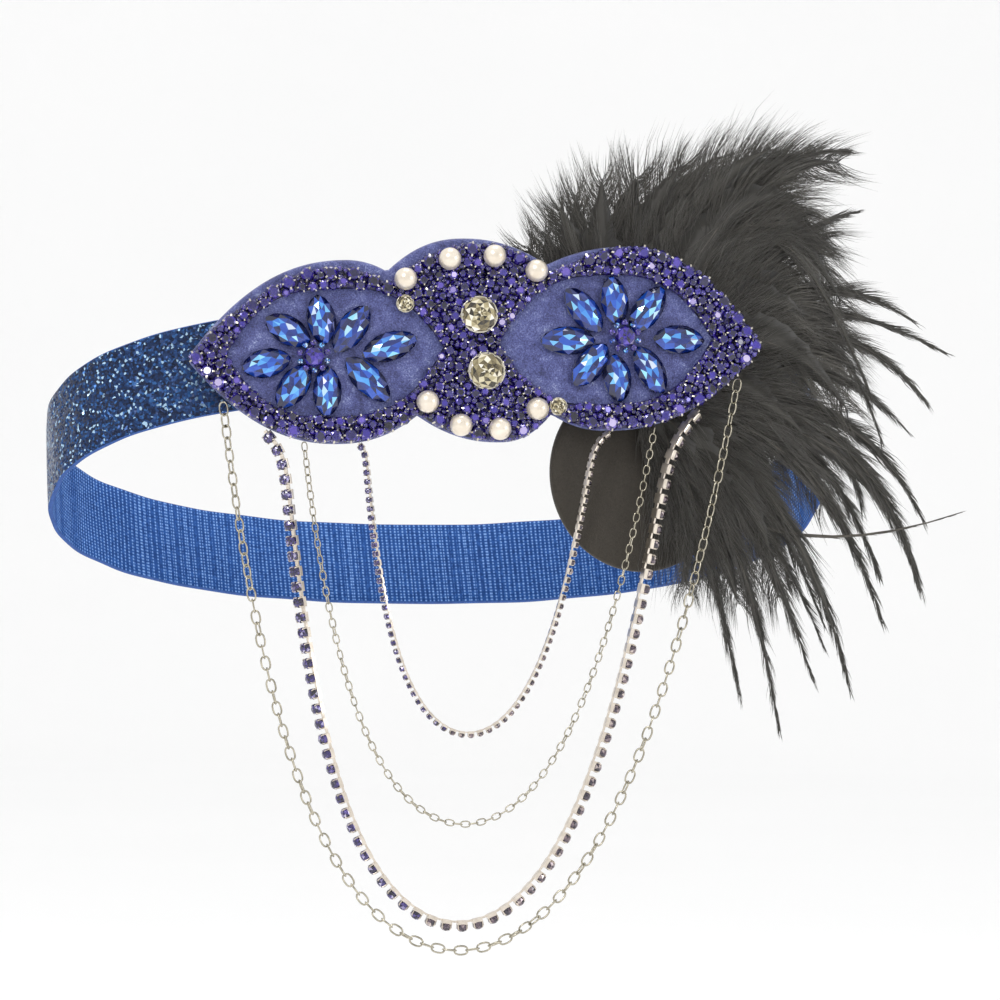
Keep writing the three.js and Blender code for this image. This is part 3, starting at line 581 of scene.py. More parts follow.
def panel_spot(node):
    """Along and up on the flat panel of the middle of a CAD node that stands on it."""
    low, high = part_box(node)
    local = panel_turn.T @ ((np.array(low) + np.array(high)) / 2 - panel_place)
    return np.array([math.atan2(local[0], panel_bend - local[1]) * panel_bend, local[2]])


chaton_radius, pearl_radius, crystal_radius = 5 * mm, 3 * mm, 2.4 * mm
chaton_spots = np.array([panel_spot(f"chaton_{name}") for name in ("upper", "lower")])
pearl_spots = np.array([panel_spot(f"pearl_{i}") for i in range(1, 9)])
crystal_spots = np.array([panel_spot(f"crystal_{name}") for name in ("left", "right")])
standing = np.concatenate([chaton_spots, pearl_spots, crystal_spots])
standing_radius = np.repeat([chaton_radius, pearl_radius, crystal_radius], [2, 8, 2])


def stone_line(along):
    """Upper limit of the stones: the panel's upper edge less the width of the bare rim there."""
    bare = np.interp(along / panel_half_length, bare_rim[:, 0], bare_rim[:, 1]) * mm
    return edge_height(upper_edge, along) - bare


# Bed under the stones: netting full of beads, in an upper and a lower strip that leave the windows
# bare. Each station of a strip has its two edges and a low dome between them.
bed_along = np.linspace(-0.985, 0.985, 200) * panel_half_length
bed_over = window_middle(bed_along) + window_open(bed_along)
bed_under = window_middle(bed_along) - window_open(bed_along)
bed_top = np.maximum(stone_line(bed_along) - 0.5 * mm, bed_over + 0.1 * mm)
bed_bottom = np.minimum(edge_height(lower_edge, bed_along) + 0.4 * mm, bed_under - 0.1 * mm)
dome = np.array([(0, -0.1), (0, 0.5), (0.12, 0.9), (0.5, 1.0), (0.88, 0.9), (1, 0.5), (1, -0.1)])
beds, bed_faces = [], []
for low, high in ((bed_over, bed_top), (bed_bottom, bed_under)):
    height = low[:, None] + (high - low)[:, None] * dome[:, 0]
    depth = np.broadcast_to(panel_wall + dome[:, 1] * bed_wall, height.shape)
    lengthwise = np.broadcast_to(bed_along[:, None], height.shape)
    strip = on_panel(np.stack([lengthwise, height, depth], -1).reshape(-1, 3))
    ends = np.stack([np.arange(7), (len(bed_along) * 7 - 1 - np.arange(7))])
    sides = outward(strip, [grid(len(bed_along), 7, close_columns=True), ends])
    bed_faces.append([part + len(beds) * len(strip) for part in sides])
    beds.append(strip)

# Netting of dark violet bead glass and thread, knobbly at the size of a seed bead, with painted
# shade: each knob lighter in its middle and darker out to the gaps between the beads.
netting, tree, shader = material("bead_netting", {"Roughness": 0.3, "Coat Weight": 0.5})
where = add(tree, "ShaderNodeTexCoord")
knobs = add(tree, "ShaderNodeTexVoronoi", {"Vector": where.outputs["Object"], "Scale": 1 / (2 * bead_radius)})
# Painted shade: darker from each knob's middle out to the gaps between the beads.
dye_and_painted_shading = ramp(tree, knobs.outputs["Distance"], ((0.0, "2A1C7C"), (0.75, "080620")))
tree.links.new(dye_and_painted_shading.outputs["Color"], shader.inputs["Base Color"])
relief = add(tree, "ShaderNodeBump", {"Height": knobs.outputs["Distance"], "Strength": 1.0,
                                      "Distance": 0.8 * mm}, invert=True)
tree.links.new(relief.outputs["Normal"], shader.inputs["Normal"])
bed = piece("bead_netting_bed", np.concatenate(beds),
            [np.concatenate(part) for part in zip(*bed_faces)], [netting])
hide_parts("stones_left", "stones_centre", "stones_right")
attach(bed, "root")

# Candidate places on a fine mesh of points over the panel, kept where the bare rim, the windows
# and the standing pieces leave room for a stone of the radius that is tried.
fine = np.stack(np.meshgrid(np.arange(-panel_half_length, panel_half_length, 0.4 * mm),
                            np.arange(-panel_half_height, panel_half_height, 0.4 * mm)), -1).reshape(-1, 2)
border = np.linspace(-panel_half_length, panel_half_length, 400)
outline = np.concatenate([np.stack([border, stone_line(border)], -1),
                          np.stack([border, edge_height(lower_edge, border)], -1)[::-1]])
inside = (fine[:, 1] < stone_line(fine[:, 0])) & (fine[:, 1] > edge_height(lower_edge, fine[:, 0]))
fine = fine[inside]
to_edge = np.array([np.min(np.hypot(*(outline - spot).T)) for spot in fine])
taken, taken_radius = standing.copy(), standing_radius.copy()
chosen = {}
# Radius, least distance from the edge, how far two stones keep apart as a share of their radii,
# and the share of the candidate places that is tried.
fillings = (
    (stone_sizes[0], 1.6 * mm, 0.99, 1.0),
    (stone_sizes[1], 1.3 * mm, 0.93, 1.0),
    (stone_sizes[2], 1.0 * mm, 0.9, 0.6),
    (bead_radius, 0.7 * mm, 0.72, 1.0),
)
for radius, inset, closeness, tries in fillings:
    off_window = np.abs(fine[:, 1] - window_middle(fine[:, 0])) - window_open(fine[:, 0], radius * 0.5)
    room_left = (to_edge > inset) & ((off_window > 0) | (window_open(fine[:, 0], radius * 0.5) <= 0))
    order = np.flatnonzero(room_left)
    if radius == stone_sizes[0]:
        order = order[np.argsort(np.round(to_edge[order] / (0.35 * mm)) + random.random(len(order)) * 0.9)]
        order = order[to_edge[order] < 2.4 * mm]
    else:
        order = random.permutation(order)[:int(len(order) * tries)]
    found = []
    for i in order:
        gap = np.hypot(*(taken - fine[i]).T) - (taken_radius + radius) * closeness
        if gap.min() > 0:
            found.append(fine[i])
            taken = np.vstack([taken, fine[i]])
            taken_radius = np.append(taken_radius, radius)
    chosen[radius] = np.array(found).reshape(-1, 2)

# Cut stone for a claw cup of radius one: back, girdle, crown and table.
gem = cut_stone([(0.7, 0.15), (0.95, 0.45), (0.97, 0.62), (0.76, 0.98), (0.5, 1.12)], stone_sides)
cup = lathed([(0.5, 0.0), (0.86, 0.06), (0.88, 0.5)], stone_sides)
claw = claws(4, 0.88, 0.05, 0.98, 0.22)
border_stone = joined([gem, cup, claw])
bead = lathed([(0.3, -0.72), (0.8, -0.6), (1.0, 0.0), (0.8, 0.6), (0.3, 0.72)], 8)

points = []
face_groups = {3: [], 4: []}
group_finish = {3: [], 4: []}
group_painted_reflection = {3: [], 4: []}
start = 0
for radius, spots in chosen.items():
    count = len(spots)
    if radius == bead_radius:
        shape, source = bead, np.full(sum(len(part) for part in bead[1]), 2)
        seat = panel_wall + bed_wall + radius * (0.2 + 1.3 * random.random(count))
        tips = random.normal(0, 0.5, (count, 2))
    else:
        shape = border_stone if radius > stone_sizes[2] else joined([gem, cup])
        source = np.where(shape[2] == 0, 0, 1)
        seat = panel_wall + 0.3 * mm + (stone_sizes[0] - radius) * (0.9 + 0.9 * random.random(count))
        tips = random.normal(0, 0.2, (count, 2))
    placed, copies = repeated(shape, np.column_stack([spots, seat]), random.random(count) * math.pi, tips,
                              np.full(count, radius))
    points.append(placed)
    stone_tint = random.random(count)
    begin = 0
    for part, copy in zip(shape[1], copies):
        width = part.shape[1]
        face_groups[width].append(copy + start)
        group_finish[width].append(np.tile(source[begin:begin + len(part)], count))
        # A stone's table is painted one tone, and each facet round it its own, mostly deep: painted
        # reflections of the foil, mixed with a tone per stone.
        first_of_table = (source[:len(part)] == 0).sum() - stone_sides
        table = np.tile(np.arange(len(part)) >= first_of_table, count) & (width == 3)
        tones = 0.25 * np.repeat(stone_tint, len(part)) + 0.75 * random.random(count * len(part)) ** 1.5
        group_painted_reflection[width].append(np.where(table, np.repeat(stone_tint ** 1.6, len(part)), tones))
        begin += len(part)
    start += len(placed)
faces = [np.concatenate(face_groups[width]) for width in (3, 4)]
finish_of_face = np.concatenate([*group_finish[3], *group_finish[4]])
facet_tone_and_painted_reflection = np.concatenate([*group_painted_reflection[3], *group_painted_reflection[4]])


def facet_glass(name, stops, roughness=0.06, metallic=0.35):
    """Foil-backed cut glass under a clear polished face: each facet is painted its own tone between
    these colours, a painted reflection of the light that the foil throws back."""
    made, tree, shader = material(name, {"Roughness": roughness, "Metallic": metallic, "Coat Weight": 1.0,
                                         "Coat Roughness": 0.02, "IOR": 1.55})
    tone = add(tree, "ShaderNodeAttribute", attribute_name="facet_tone_and_painted_reflection")
    colours = ramp(tree, tone.outputs["Fac"], stops)
    tree.links.new(colours.outputs["Color"], shader.inputs["Base Color"])
    return made


# Violet foil-backed glass, painted nearly black in its deep facets and a painted lilac reflection where a
# facet flashes.
violet_glass = facet_glass("violet_foiled_glass", (
    (0.0, "07051F"), (0.3, "170E5A"), (0.52, "201278"), (0.74, "31209A"), (0.9, "6452B6"), (1.0, "CFC4E4")))

# Silver-plated brass cups: bright, a little warm, with patches of tarnish.
silver_plate = mottled("silver_plated_brass", {"Metallic": 1.0, "Roughness": 0.22},
                       "9D978A", "EFEADC", {"Scale": 700.0, "Detail": 2.0})

# Seed beads of dark violet glass, tumbled smooth, each face painted its own tone, the paler ones a painted
# glint.
bead_glass = facet_glass("violet_bead_glass", (
    (0.0, "0B082C"), (0.5, "1C1266"), (0.85, "33208F"), (1.0, "5B46B8")), 0.12, 0.1)

smooth = finish_of_face == 2
border_stones = piece("border_stones", on_panel(np.concatenate(points)), faces,
                      [violet_glass, silver_plate, bead_glass], finish_of_face, facet_tone_and_painted_reflection, smooth=smooth)
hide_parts("stones_left", "stones_centre", "stones_right")
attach(border_stones, "root")


# Flowers: eight navette stones of blue foil-backed glass, sewn on by hand through the holes in
# their ends, round a small violet stone in a claw cup, on each lobe.
petal_width = 7.8 * mm
petal_height = 3 * mm
# Turn in degrees and length in mm of each stone, from the right and then anticlockwise.
petal_tables = {
    "left": [(17, 15.6), (53, 15.2), (98, 13.6), (148, 13.6),
             (192, 13.4), (234, 14.2), (267, 13.6), (313, 16)],
    "right": [(-3, 14.2), (53, 15.2), (97, 13.4), (128, 14.8),
              (180, 15), (230, 14.2), (276, 13.2), (299, 14.4)],
}
# Blue foil-backed glass, each facet painted from near black to a pale cyan flash: painted reflections.
blue_glass = facet_glass("blue_foiled_glass", (
    (0.0, "060A26"), (0.3, "0A1750"), (0.54, "12348F"), (0.72, "1F58C6"), (0.84, "4C9FEA"), (0.92, "93DDF8"),
    (1.0, "DEDBEE")), 0.05, 0.4)


def navette(turn):
    """Pointed oval: the cosine along it, and a power of the sine across it."""
    across = np.sign(np.sin(turn)) * np.abs(np.sin(turn)) ** 1.3
    return np.stack([np.cos(turn), across], -1)


# Painted reflections by ring: a dark back and girdle, deep crown facets, brighter ones above and, on the
# table, kites of two facets each.
petal_sides = 10
petal_levels = [(0.88, 0), (1.0, 0.3), (0.97, 0.42), (0.7, 0.78), (0.4, 1.0)]
petal_cut = cut_stone(petal_levels, petal_sides, navette, 0.5)
petal_tones = np.array([(0.0, 0.1), (0.0, 0.2), (0.05, 0.7), (0.2, 0.98)])
for side, table in petal_tables.items():
    points, faces, facet_tone_and_painted_reflection = [], [], []
    for i, (turn, length) in enumerate(table):
        c, s = math.cos(math.radians(turn)), math.sin(math.radians(turn))
        local = petal_cut[0] * (length * mm / 2, petal_width / 2, petal_height)
        local = local @ np.array([[c, s, 0], [-s, c, 0], [0, 0, 1]])
        faces.append(petal_cut[1][0] + len(local) * i)
        points.append(on_panel(local + (*panel_spot(f"petal_{side}_{i + 1}"), panel_wall + 0.3 * mm)))
        low, high = np.repeat(petal_tones, 2 * petal_sides, 0).T
        facet_tone_and_painted_reflection += [low + (high - low) * random.random(len(low)), np.full(petal_sides, 0.1),
                  np.repeat(0.3 + 0.7 * random.random(petal_sides // 2) ** 1.3, 2)]
    petals = piece(f"petals_{side}", np.concatenate(points), [np.concatenate(faces)], [blue_glass],
                   facet_tone_and_painted_reflection=np.concatenate(facet_tone_and_painted_reflection), smooth=False)
    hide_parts(*[f"petal_{side}_{i}" for i in range(1, 9)])
    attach(petals, "root")

    # The heart: a cut bead, with small beads round it by turns violet and blue that hide the
    # petals' threads.
    heart = panel_spot(f"flower_centre_{side}")
    heart_radius = 2.8 * mm
    cut_bead = cut_stone([(0.5, 0.1), (0.9, 0.45), (1.0, 0.8), (0.82, 1.2), (0.42, 1.42)], stone_sides)
    turn = (np.arange(10) + 0.5) * math.pi / 5
    ring = np.column_stack([heart + 3.7 * mm * np.stack([np.cos(turn), np.sin(turn)], -1),
                            np.full(10, panel_wall + 2.3 * mm)])
    violet_beads = repeated(bead, ring[::2], turn[::2], None, np.full(5, 0.95 * mm))
    blue_beads = repeated(bead, ring[1::2], turn[1::2], None, np.full(5, 0.8 * mm))
    middle_bead = (cut_bead[0] * heart_radius + (*heart, panel_wall + 0.3 * mm), cut_bead[1])
    whole, faces, source = joined([middle_bead, violet_beads, blue_beads])
    # Each facet of the heart and its beads is painted a random tone, mostly bright: painted reflections.
    centre = piece(f"flower_heart_{side}", on_panel(whole), faces, [violet_glass, bead_glass, blue_glass],
                   source, random.random(len(source)) ** 0.7, smooth=source == 1)
    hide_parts(f"flower_centre_{side}")
    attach(centre, "root")


# Chatons and crystals: clear glass stones in claw cups, two large ones in the middle and a small
# one beside the pearls above and below. The foil behind them is champagne coloured.
# Champagne foil-backed glass, each facet painted its own tone from near black to near white: painted
# reflections.
clear_glass = facet_glass("champagne_foiled_glass", (
    (0.0, "171208"), (0.24, "40361F"), (0.46, "776B49"), (0.68, "B1A57E"), (0.87, "E0D7B8"),
    (1.0, "FBF6EA")), 0.04, 0.35)
brilliant = cut_stone([
    (0.8, 0.0), (0.94, 0.4), (0.94, 0.5), (0.8, 0.62), (0.6, 0.72), (0.38, 0.77), (0.16, 0.775)], 10)
chaton_cup = lathed([(0.8, 0.0), (0.98, 0.04), (1.0, 0.44), (0.97, 0.5), (0.9, 0.46)], 36)
chaton_claws = claws(6, 0.93, 0.05, 0.56, 0.13, 0.93, 0.0)
clear_stone = joined([brilliant, chaton_cup, chaton_claws])
# Names, places, radius, and how far the back of the cup stands off the panel.
clear_stones = (
    (("chaton_upper", "chaton_lower"), chaton_spots, chaton_radius, 0.3 * mm),
    (("crystal_left", "crystal_right"), crystal_spots, crystal_radius, 0.9 * mm),
)
for names, spots, radius, seat in clear_stones:
    for name, spot in zip(names, spots):
        local = clear_stone[0] * radius
        whole = on_panel(local + (*spot, panel_wall + seat))
        stone = piece(f"{name}_stone", whole, clear_stone[1], [clear_glass, silver_plate],
                      np.where(clear_stone[2] == 0, 0, 1), random.random(len(clear_stone[2])),
                      smooth=clear_stone[2] == 1)
        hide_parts(name)
        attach(stone, "root")


# Pearls: moulded ivory beads with a pearl lacquer, each sewn down by a thread through its hole.
nacre = mottled("pearl_lacquer", {"Roughness": 0.28, "Metallic": 0.55, "Coat Weight": 0.5,
                                  "Coat Roughness": 0.08},
                "D5C7B3", "F2EADD", {"Scale": 350.0, "Detail": 2.0})
polar = np.linspace(0.12, math.pi - 0.12, 15)
ball = lathed(np.column_stack([np.sin(polar), -np.cos(polar)]), 26)
for i, spot in enumerate(pearl_spots):
    tilt = random.uniform(-0.8, 0.8)
    spun = ball[0] @ np.array(Matrix.Rotation(math.pi / 2 - tilt, 3, (1, tilt, 0.2)))
    whole = on_panel(spun * pearl_radius + (*spot, panel_wall + 0.3 * mm + pearl_radius))
    pearl = piece(f"pearl_bead_{i + 1}", whole, outward(whole, ball[1]), [nacre])
    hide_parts(f"pearl_{i + 1}")
    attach(pearl, "root")


# Swags: two fine cable chains and two cup chains, whose ends are sewn under the panel's edge.
# Each hangs in the curve of a chain under its own weight, on a head that tilts a little.
head_tilt = math.radians(1.8)
hang_depth = panel_wall * 0.8
hang_gap = 0.3 * mm


def hang_point(share, radius):
    """Place just under the panel's lower edge, as far below as the chain's own radius needs."""
    spot = share * panel_half_length
    slope = math.atan(float(edge_height(lower_edge, np.array(spot + 0.5 * mm))
                            - edge_height(lower_edge, np.array(spot - 0.5 * mm))) / mm)
    below = (hang_gap + radius * abs(math.sin(slope))) / math.cos(slope)
    height = float(edge_height(lower_edge, np.array(spot)))
    return on_panel(np.array([spot, height - below, hang_depth]))


def swag(ends, sewn, drop, radius, pitch):
    """Catenary between two hang points, with its lowest point at the drop. A stiff chain is sewn down
    further out than it hangs, so each end leaves the curve by a share that grows as an exponential.
    Gives places at even steps of its length, the direction along it and the direction in its
    plane, away from the middle."""
    start, end = (hang_point(share, radius) for share in ends)
    level = unit((end - start) * (1, 1, 0))
    down = -level * math.sin(head_tilt) - up * math.cos(head_tilt)
    over = level * math.cos(head_tilt) - up * math.sin(head_tilt)
    width, fall = (end - start) @ over, (end - start) @ down
    lowest = drop + fall / 2
    soft, stiff = 1 * mm, 2.0
    for _ in range(60):
        middle = (soft + stiff) / 2
        reach = middle * (math.acosh(1 + lowest / middle) + math.acosh(1 + (lowest - fall) / middle))
        soft, stiff = (middle, stiff) if reach < width else (soft, middle)
    left_reach = stiff * math.acosh(1 + lowest / stiff)
    length = stiff * (math.sinh(left_reach / stiff) + math.sinh((width - left_reach) / stiff))
    fine = np.linspace(0, length, 3000)
    away = stiff * np.arcsinh((fine - stiff * math.sinh(left_reach / stiff)) / stiff)
    line = (start + over * (left_reach + away)[:, None]
            + down * (lowest - stiff * (np.cosh(away / stiff) - 1))[:, None])
    for share, end_place, from_end in zip(sewn, (start, end), (fine, fine[::-1])):
        shift = hang_point(share, radius) - end_place
        bend = max(0.6 * float(np.linalg.norm(shift)), 0.1 * mm)
        line = line + shift * np.exp(-from_end / bend)[:, None]
    run = np.concatenate([[0], np.cumsum(np.linalg.norm(np.diff(line, axis=0), axis=1))])
    count = round(run[-1] / pitch)
    even = (np.arange(count) + 0.5) / count * run[-1]
    ahead = np.gradient(line, axis=0)
    places, tangent = (np.stack([np.interp(even, run, rows[:, k]) for k in range(3)], -1)
                       for rows in (line, ahead))
    tangent = unit(tangent)
    outside = unit(np.cross(np.cross(over, down), tangent))
    return places, tangent, outside * np.sign(outside[count // 2] @ down)


def placed_along(shape, places, first, second, third):
    """Copies of a shape whose three axes lie along these directions at each place."""
    points = shape[0] @ np.stack([first, second, third], 1) + places[:, None, :]
    step = (np.arange(len(places)) * len(shape[0]))[:, None, None]
    return points.reshape(-1, 3), [(part[None] + step).reshape(-1, part.shape[1]) for part in shape[1]]


# Cable chain: soldered oval links of silver wire, each turned a quarter from the last. Near an end
# that is sewn down twisted, up to a share of the length, both kinds of link are seen on the slant.
# Name, ends along the panel, drop, radius, pitch, wire, width of a link, and the twisted shares.
cables = (
    ("outer_cable", (-0.89, 0.92), 148 * mm, 1.2 * mm, 3.1 * mm, 0.5 * mm, 2.8 * mm, (0.17, 0.17)),
    ("inner_cable", (-0.615, 0.615), 103 * mm, 0.85 * mm, 2.13 * mm, 0.36 * mm, 1.95 * mm, (0.16, 0.0)),
)
# The links' colour drifts in a noise from dark olive to pale cream: painted reflections of dark and bright
# surroundings on the silver.
chain_silver = mottled("chain_silver", {"Metallic": 1.0, "Roughness": 0.24},
                       "57523F", "DDD6C4", {"Scale": 500.0, "Detail": 2.0})
for name, ends, drop, radius, pitch, wire, link_width, twisted in cables:
    places, tangent, outside = swag(ends, ends, drop, radius, pitch)
    half_length, half_width = pitch / 2 + wire / 2, (link_width - wire) / 2
    turn = np.arange(16) / 16 * 2 * math.pi
    # Oval with fuller ends than an ellipse, and the wire's round section carried round it.
    line = np.stack([np.sign(np.cos(turn)) * np.abs(np.cos(turn)) ** 0.8 * half_length,
                     np.sign(np.sin(turn)) * np.abs(np.sin(turn)) ** 0.8 * half_width, 0 * turn], -1)
    ahead = unit(np.roll(line, -1, 0) - np.roll(line, 1, 0))
    beside = np.cross(ahead, (0, 0, 1))
    section = np.arange(6) / 6 * 2 * math.pi
    link = (line[:, None] + beside[:, None] * np.cos(section)[:, None] * wire / 2
            + np.array([0, 0, 1.0]) * np.sin(section)[:, None] * wire / 2).reshape(-1, 3)
    link = (link, outward(link, [grid(16, 6, True, True)]))
    across = unit(np.cross(tangent, outside))
    way = np.linspace(0, 1, len(places))
    lay = np.clip((twisted[0] - way) / 0.04, 0, 1) + np.clip((way - 1 + twisted[1]) / 0.04, 0, 1)
    spin = np.where(np.arange(len(places)) % 2 == 0, 0, math.pi / 2) + random.normal(0, 0.15, len(places))
    spin = spin + lay * math.radians(42)
    c, s = np.cos(spin)[:, None], np.sin(spin)[:, None]
    points, faces = placed_along(link, places, tangent, outside * c + across * s, across * c - outside * s)
    chain = piece(f"links_{name}", points, outward(points, faces), [chain_silver])
    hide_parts(f"chain_{name}")
    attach(chain, "root")

# Cup chain: round stones in square silver cups with a claw at each corner, joined by short bars.
# The cups face out of the swag at its bottom, to the front at the left end and back at the right.
# Name, ends of the hanging curve, places where the ends are sewn down, drop, radius and pitch.
cup_chains = (
    ("outer_cup", (-0.685, 0.675), (-0.75, 0.775), 130 * mm, 1.6 * mm, 4.05 * mm),
    ("inner_cup", (-0.405, 0.4), (-0.43, 0.455), 78 * mm, 1.0 * mm, 2.4 * mm),
)
# Violet foil-backed glass of the cups in the left part, deeper than the panel's stones.
deep_glass = facet_glass("deep_violet_glass", (
    (0.0, "0A0614"), (0.38, "1B133E"), (0.66, "2F2268"), (0.86, "52438C"), (1.0, "C5BFD8")), 0.06, 0.35)
# Smoky violet foil-backed glass of the other cups.
smoky_glass = facet_glass("smoky_violet_glass", (
    (0.0, "17121C"), (0.35, "33283A"), (0.65, "54444F"), (0.85, "86757A"), (1.0, "C9BBB4")), 0.06, 0.35)
# Pale copper-silver wash of the cups and of the bars between them.
cup_silver = mottled("warm_silver_wash", {"Metallic": 1.0, "Roughness": 0.3},
                     "BDB2A3", "F4EBDF", {"Scale": 500.0, "Detail": 2.0})
for name, ends, sewn, drop, radius, pitch in cup_chains:
    places, tangent, outside = swag(ends, sewn, drop, radius, pitch)
    # The twist dies out over the first third of its length and comes in over the last fifth.
    way = np.linspace(0, 1, len(places))[:, None]
    twist = (np.radians(62) * np.clip(1 - way / 0.34, 0, 1)
             - np.radians(48) * np.clip((way - 0.78) / 0.22, 0, 1))
    forward_side = unit(np.cross(outside, tangent))
    forward_side = forward_side * -np.sign(forward_side[:, 1:2])
    outside = outside * np.cos(twist) + forward_side * np.sin(twist)
    across = unit(np.cross(outside, tangent))
    half = pitch * 0.36
    stone = cut_stone([(0.8, 0.2), (1.02, 0.52), (1.0, 1.1), (0.8, 1.55), (0.42, 1.75)], 8)
    stone = (stone[0] * half, stone[1])
    # A square cup with its corners on the claws: a sloped back, straight walls and a folded rim.
    holder = lathed([(0.95, -0.34), (1.26, -0.26), (1.3, 0.38), (1.22, 0.46)], 4)
    eighth = math.sqrt(0.5)
    holder = (holder[0] @ np.array([[eighth, eighth, 0], [-eighth, eighth, 0], [0, 0, 1]]) * half, holder[1])
    grips = claws(4, 1.04 * half, 0.1 * half, 1.45 * half, 0.22 * half, 0.85)
    bar = np.array([(x, y, z) for x in (-0.5, 0.5) for y in (-0.34, 0.34) for z in (-0.3, 0.05)]) * (
        pitch * 1.02, half, half)
    bar_faces = np.array([(0, 1, 3, 2), (4, 6, 7, 5), (0, 4, 5, 1), (2, 3, 7, 6), (0, 2, 6, 4), (1, 5, 7, 3)])
    unit_cup = joined([stone, holder, grips, (bar, outward(bar, [bar_faces]))])
    points, faces = placed_along(unit_cup[:2], places, tangent, across, outside)
    metal = np.concatenate([np.tile(source, len(places)) for source in np.split(
        np.where(unit_cup[2] == 0, 0, 1), [len(unit_cup[1][0])])])
    station = np.concatenate([part[:, 0] // len(unit_cup[0]) for part in faces])
    in_left_part = (metal == 0) & (station < len(places) * 0.45)
    # Each facet of the cups' stones is painted a random tone: painted reflections.
    chain = piece(f"cups_{name}", points, outward(points, faces), [smoky_glass, cup_silver, deep_glass],
                  np.where(in_left_part, 2, metal), random.random(len(metal)), smooth=False)
    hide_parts(f"chain_{name}")
    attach(chain, "root")


# Felt pad: a disc of dark wool felt inside the elastic, which backs the feathers' bound butts.
pad_radius = 26 * mm
pad_wall = 2 * mm
pad_yaw = math.radians(10.9)
pad_low, pad_high = (np.array(corner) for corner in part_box("felt_pad"))
edge_turn = np.linspace(-math.pi / 2, math.pi / 2, 7)
rings = [(pad_radius * share, -pad_wall / 2) for share in (0.05, 0.3, 0.6, 0.9)]
rings += [(pad_radius - pad_wall / 2 * (1 - math.cos(a)), pad_wall / 2 * math.sin(a)) for a in edge_turn]
rings += [(pad_radius * share, pad_wall / 2) for share in (0.9, 0.6, 0.3, 0.05)]
disc, faces = lathed(rings, 96)
turn = np.array(Matrix.Rotation(pad_yaw, 3, "Z") @ Matrix.Rotation(-band_front_lean, 3, "X")
                @ Matrix.Rotation(math.pi / 2, 3, "X"))
points = disc @ turn.T + (pad_low + pad_high) / 2
# Pressed wool felt: matt, mottled charcoal brown with short stray fibres.
felt, tree, shader = material("pressed_wool_felt", {"Roughness": 0.95, "Sheen Weight": 0.3,
                                                    "Specular IOR Level": 0.2})
where = add(tree, "ShaderNodeTexCoord")
fibres = add(tree, "ShaderNodeTexNoise", {"Vector": where.outputs["Object"], "Scale": 1500.0, "Detail": 5.0,
                                          "Roughness": 0.7, "Distortion": 1.5})
shade = add(tree, "ShaderNodeMix", {0: fibres.outputs["Fac"], 6: linear("25221E"), 7: linear("48433C")},
            data_type="RGBA")
tree.links.new(shade.outputs[2], shader.inputs["Base Color"])
relief = add(tree, "ShaderNodeBump", {"Height": fibres.outputs["Fac"], "Strength": 0.5, "Distance": 0.3 * mm})
tree.links.new(relief.outputs["Normal"], shader.inputs["Normal"])
pad = piece("felt_backing", points, outward(points, faces), [felt])
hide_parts("felt_pad")
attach(pad, "root")


# Feather plume: dyed black marabou and hackle feathers, bound at their butts behind the right lobe.
# Marabou has long loose barbs that stand out as fluff, and hackle is a narrow pointed blade.
butts = np.array([42.0, 16.0]) * mm
# How far the butts are spread, across and up, as a share of the way to each feather's knee.
butt_spread = (0.28, 0.05)
plume_gap = 1.2 * mm
hang_back = 0.06
vane_stations = 30
vane_wall = 0.12 * mm
# What each kind of feather carries: its quill, its longest barb and the share of it where the
# barbs still lie together as a vane, the space between barbs, their slant to the quill at the
# butt and at the tip in degrees, their half width, how loose they are, how much they part into
# tufts, how far they shorten towards the tip and in how many steps they bend.
feather_kinds = {
    "marabou": {"quill": 0.34 * mm, "barb": 22 * mm, "vane": 0.42, "space": 0.27 * mm, "slants": (74, 36),
                "half_width": 0.085 * mm, "loose": 0.15, "part": 0.22, "shorten": 0.6, "steps": 4},
    "hackle": {"quill": 0.4 * mm, "barb": 12.5 * mm, "vane": 0.5, "space": 0.38 * mm, "slants": (34, 10),
               "half_width": 0.11 * mm, "loose": 0.06, "part": 0.4, "shorten": 0.75, "steps": 3},
    "stripped": {"quill": 1.1 * mm, "barb": 4 * mm, "vane": 0.4, "space": 1.0 * mm, "slants": (14, 6),
                 "half_width": 0.12 * mm, "loose": 0.05, "part": 0.2, "shorten": 0.5, "steps": 3},
}
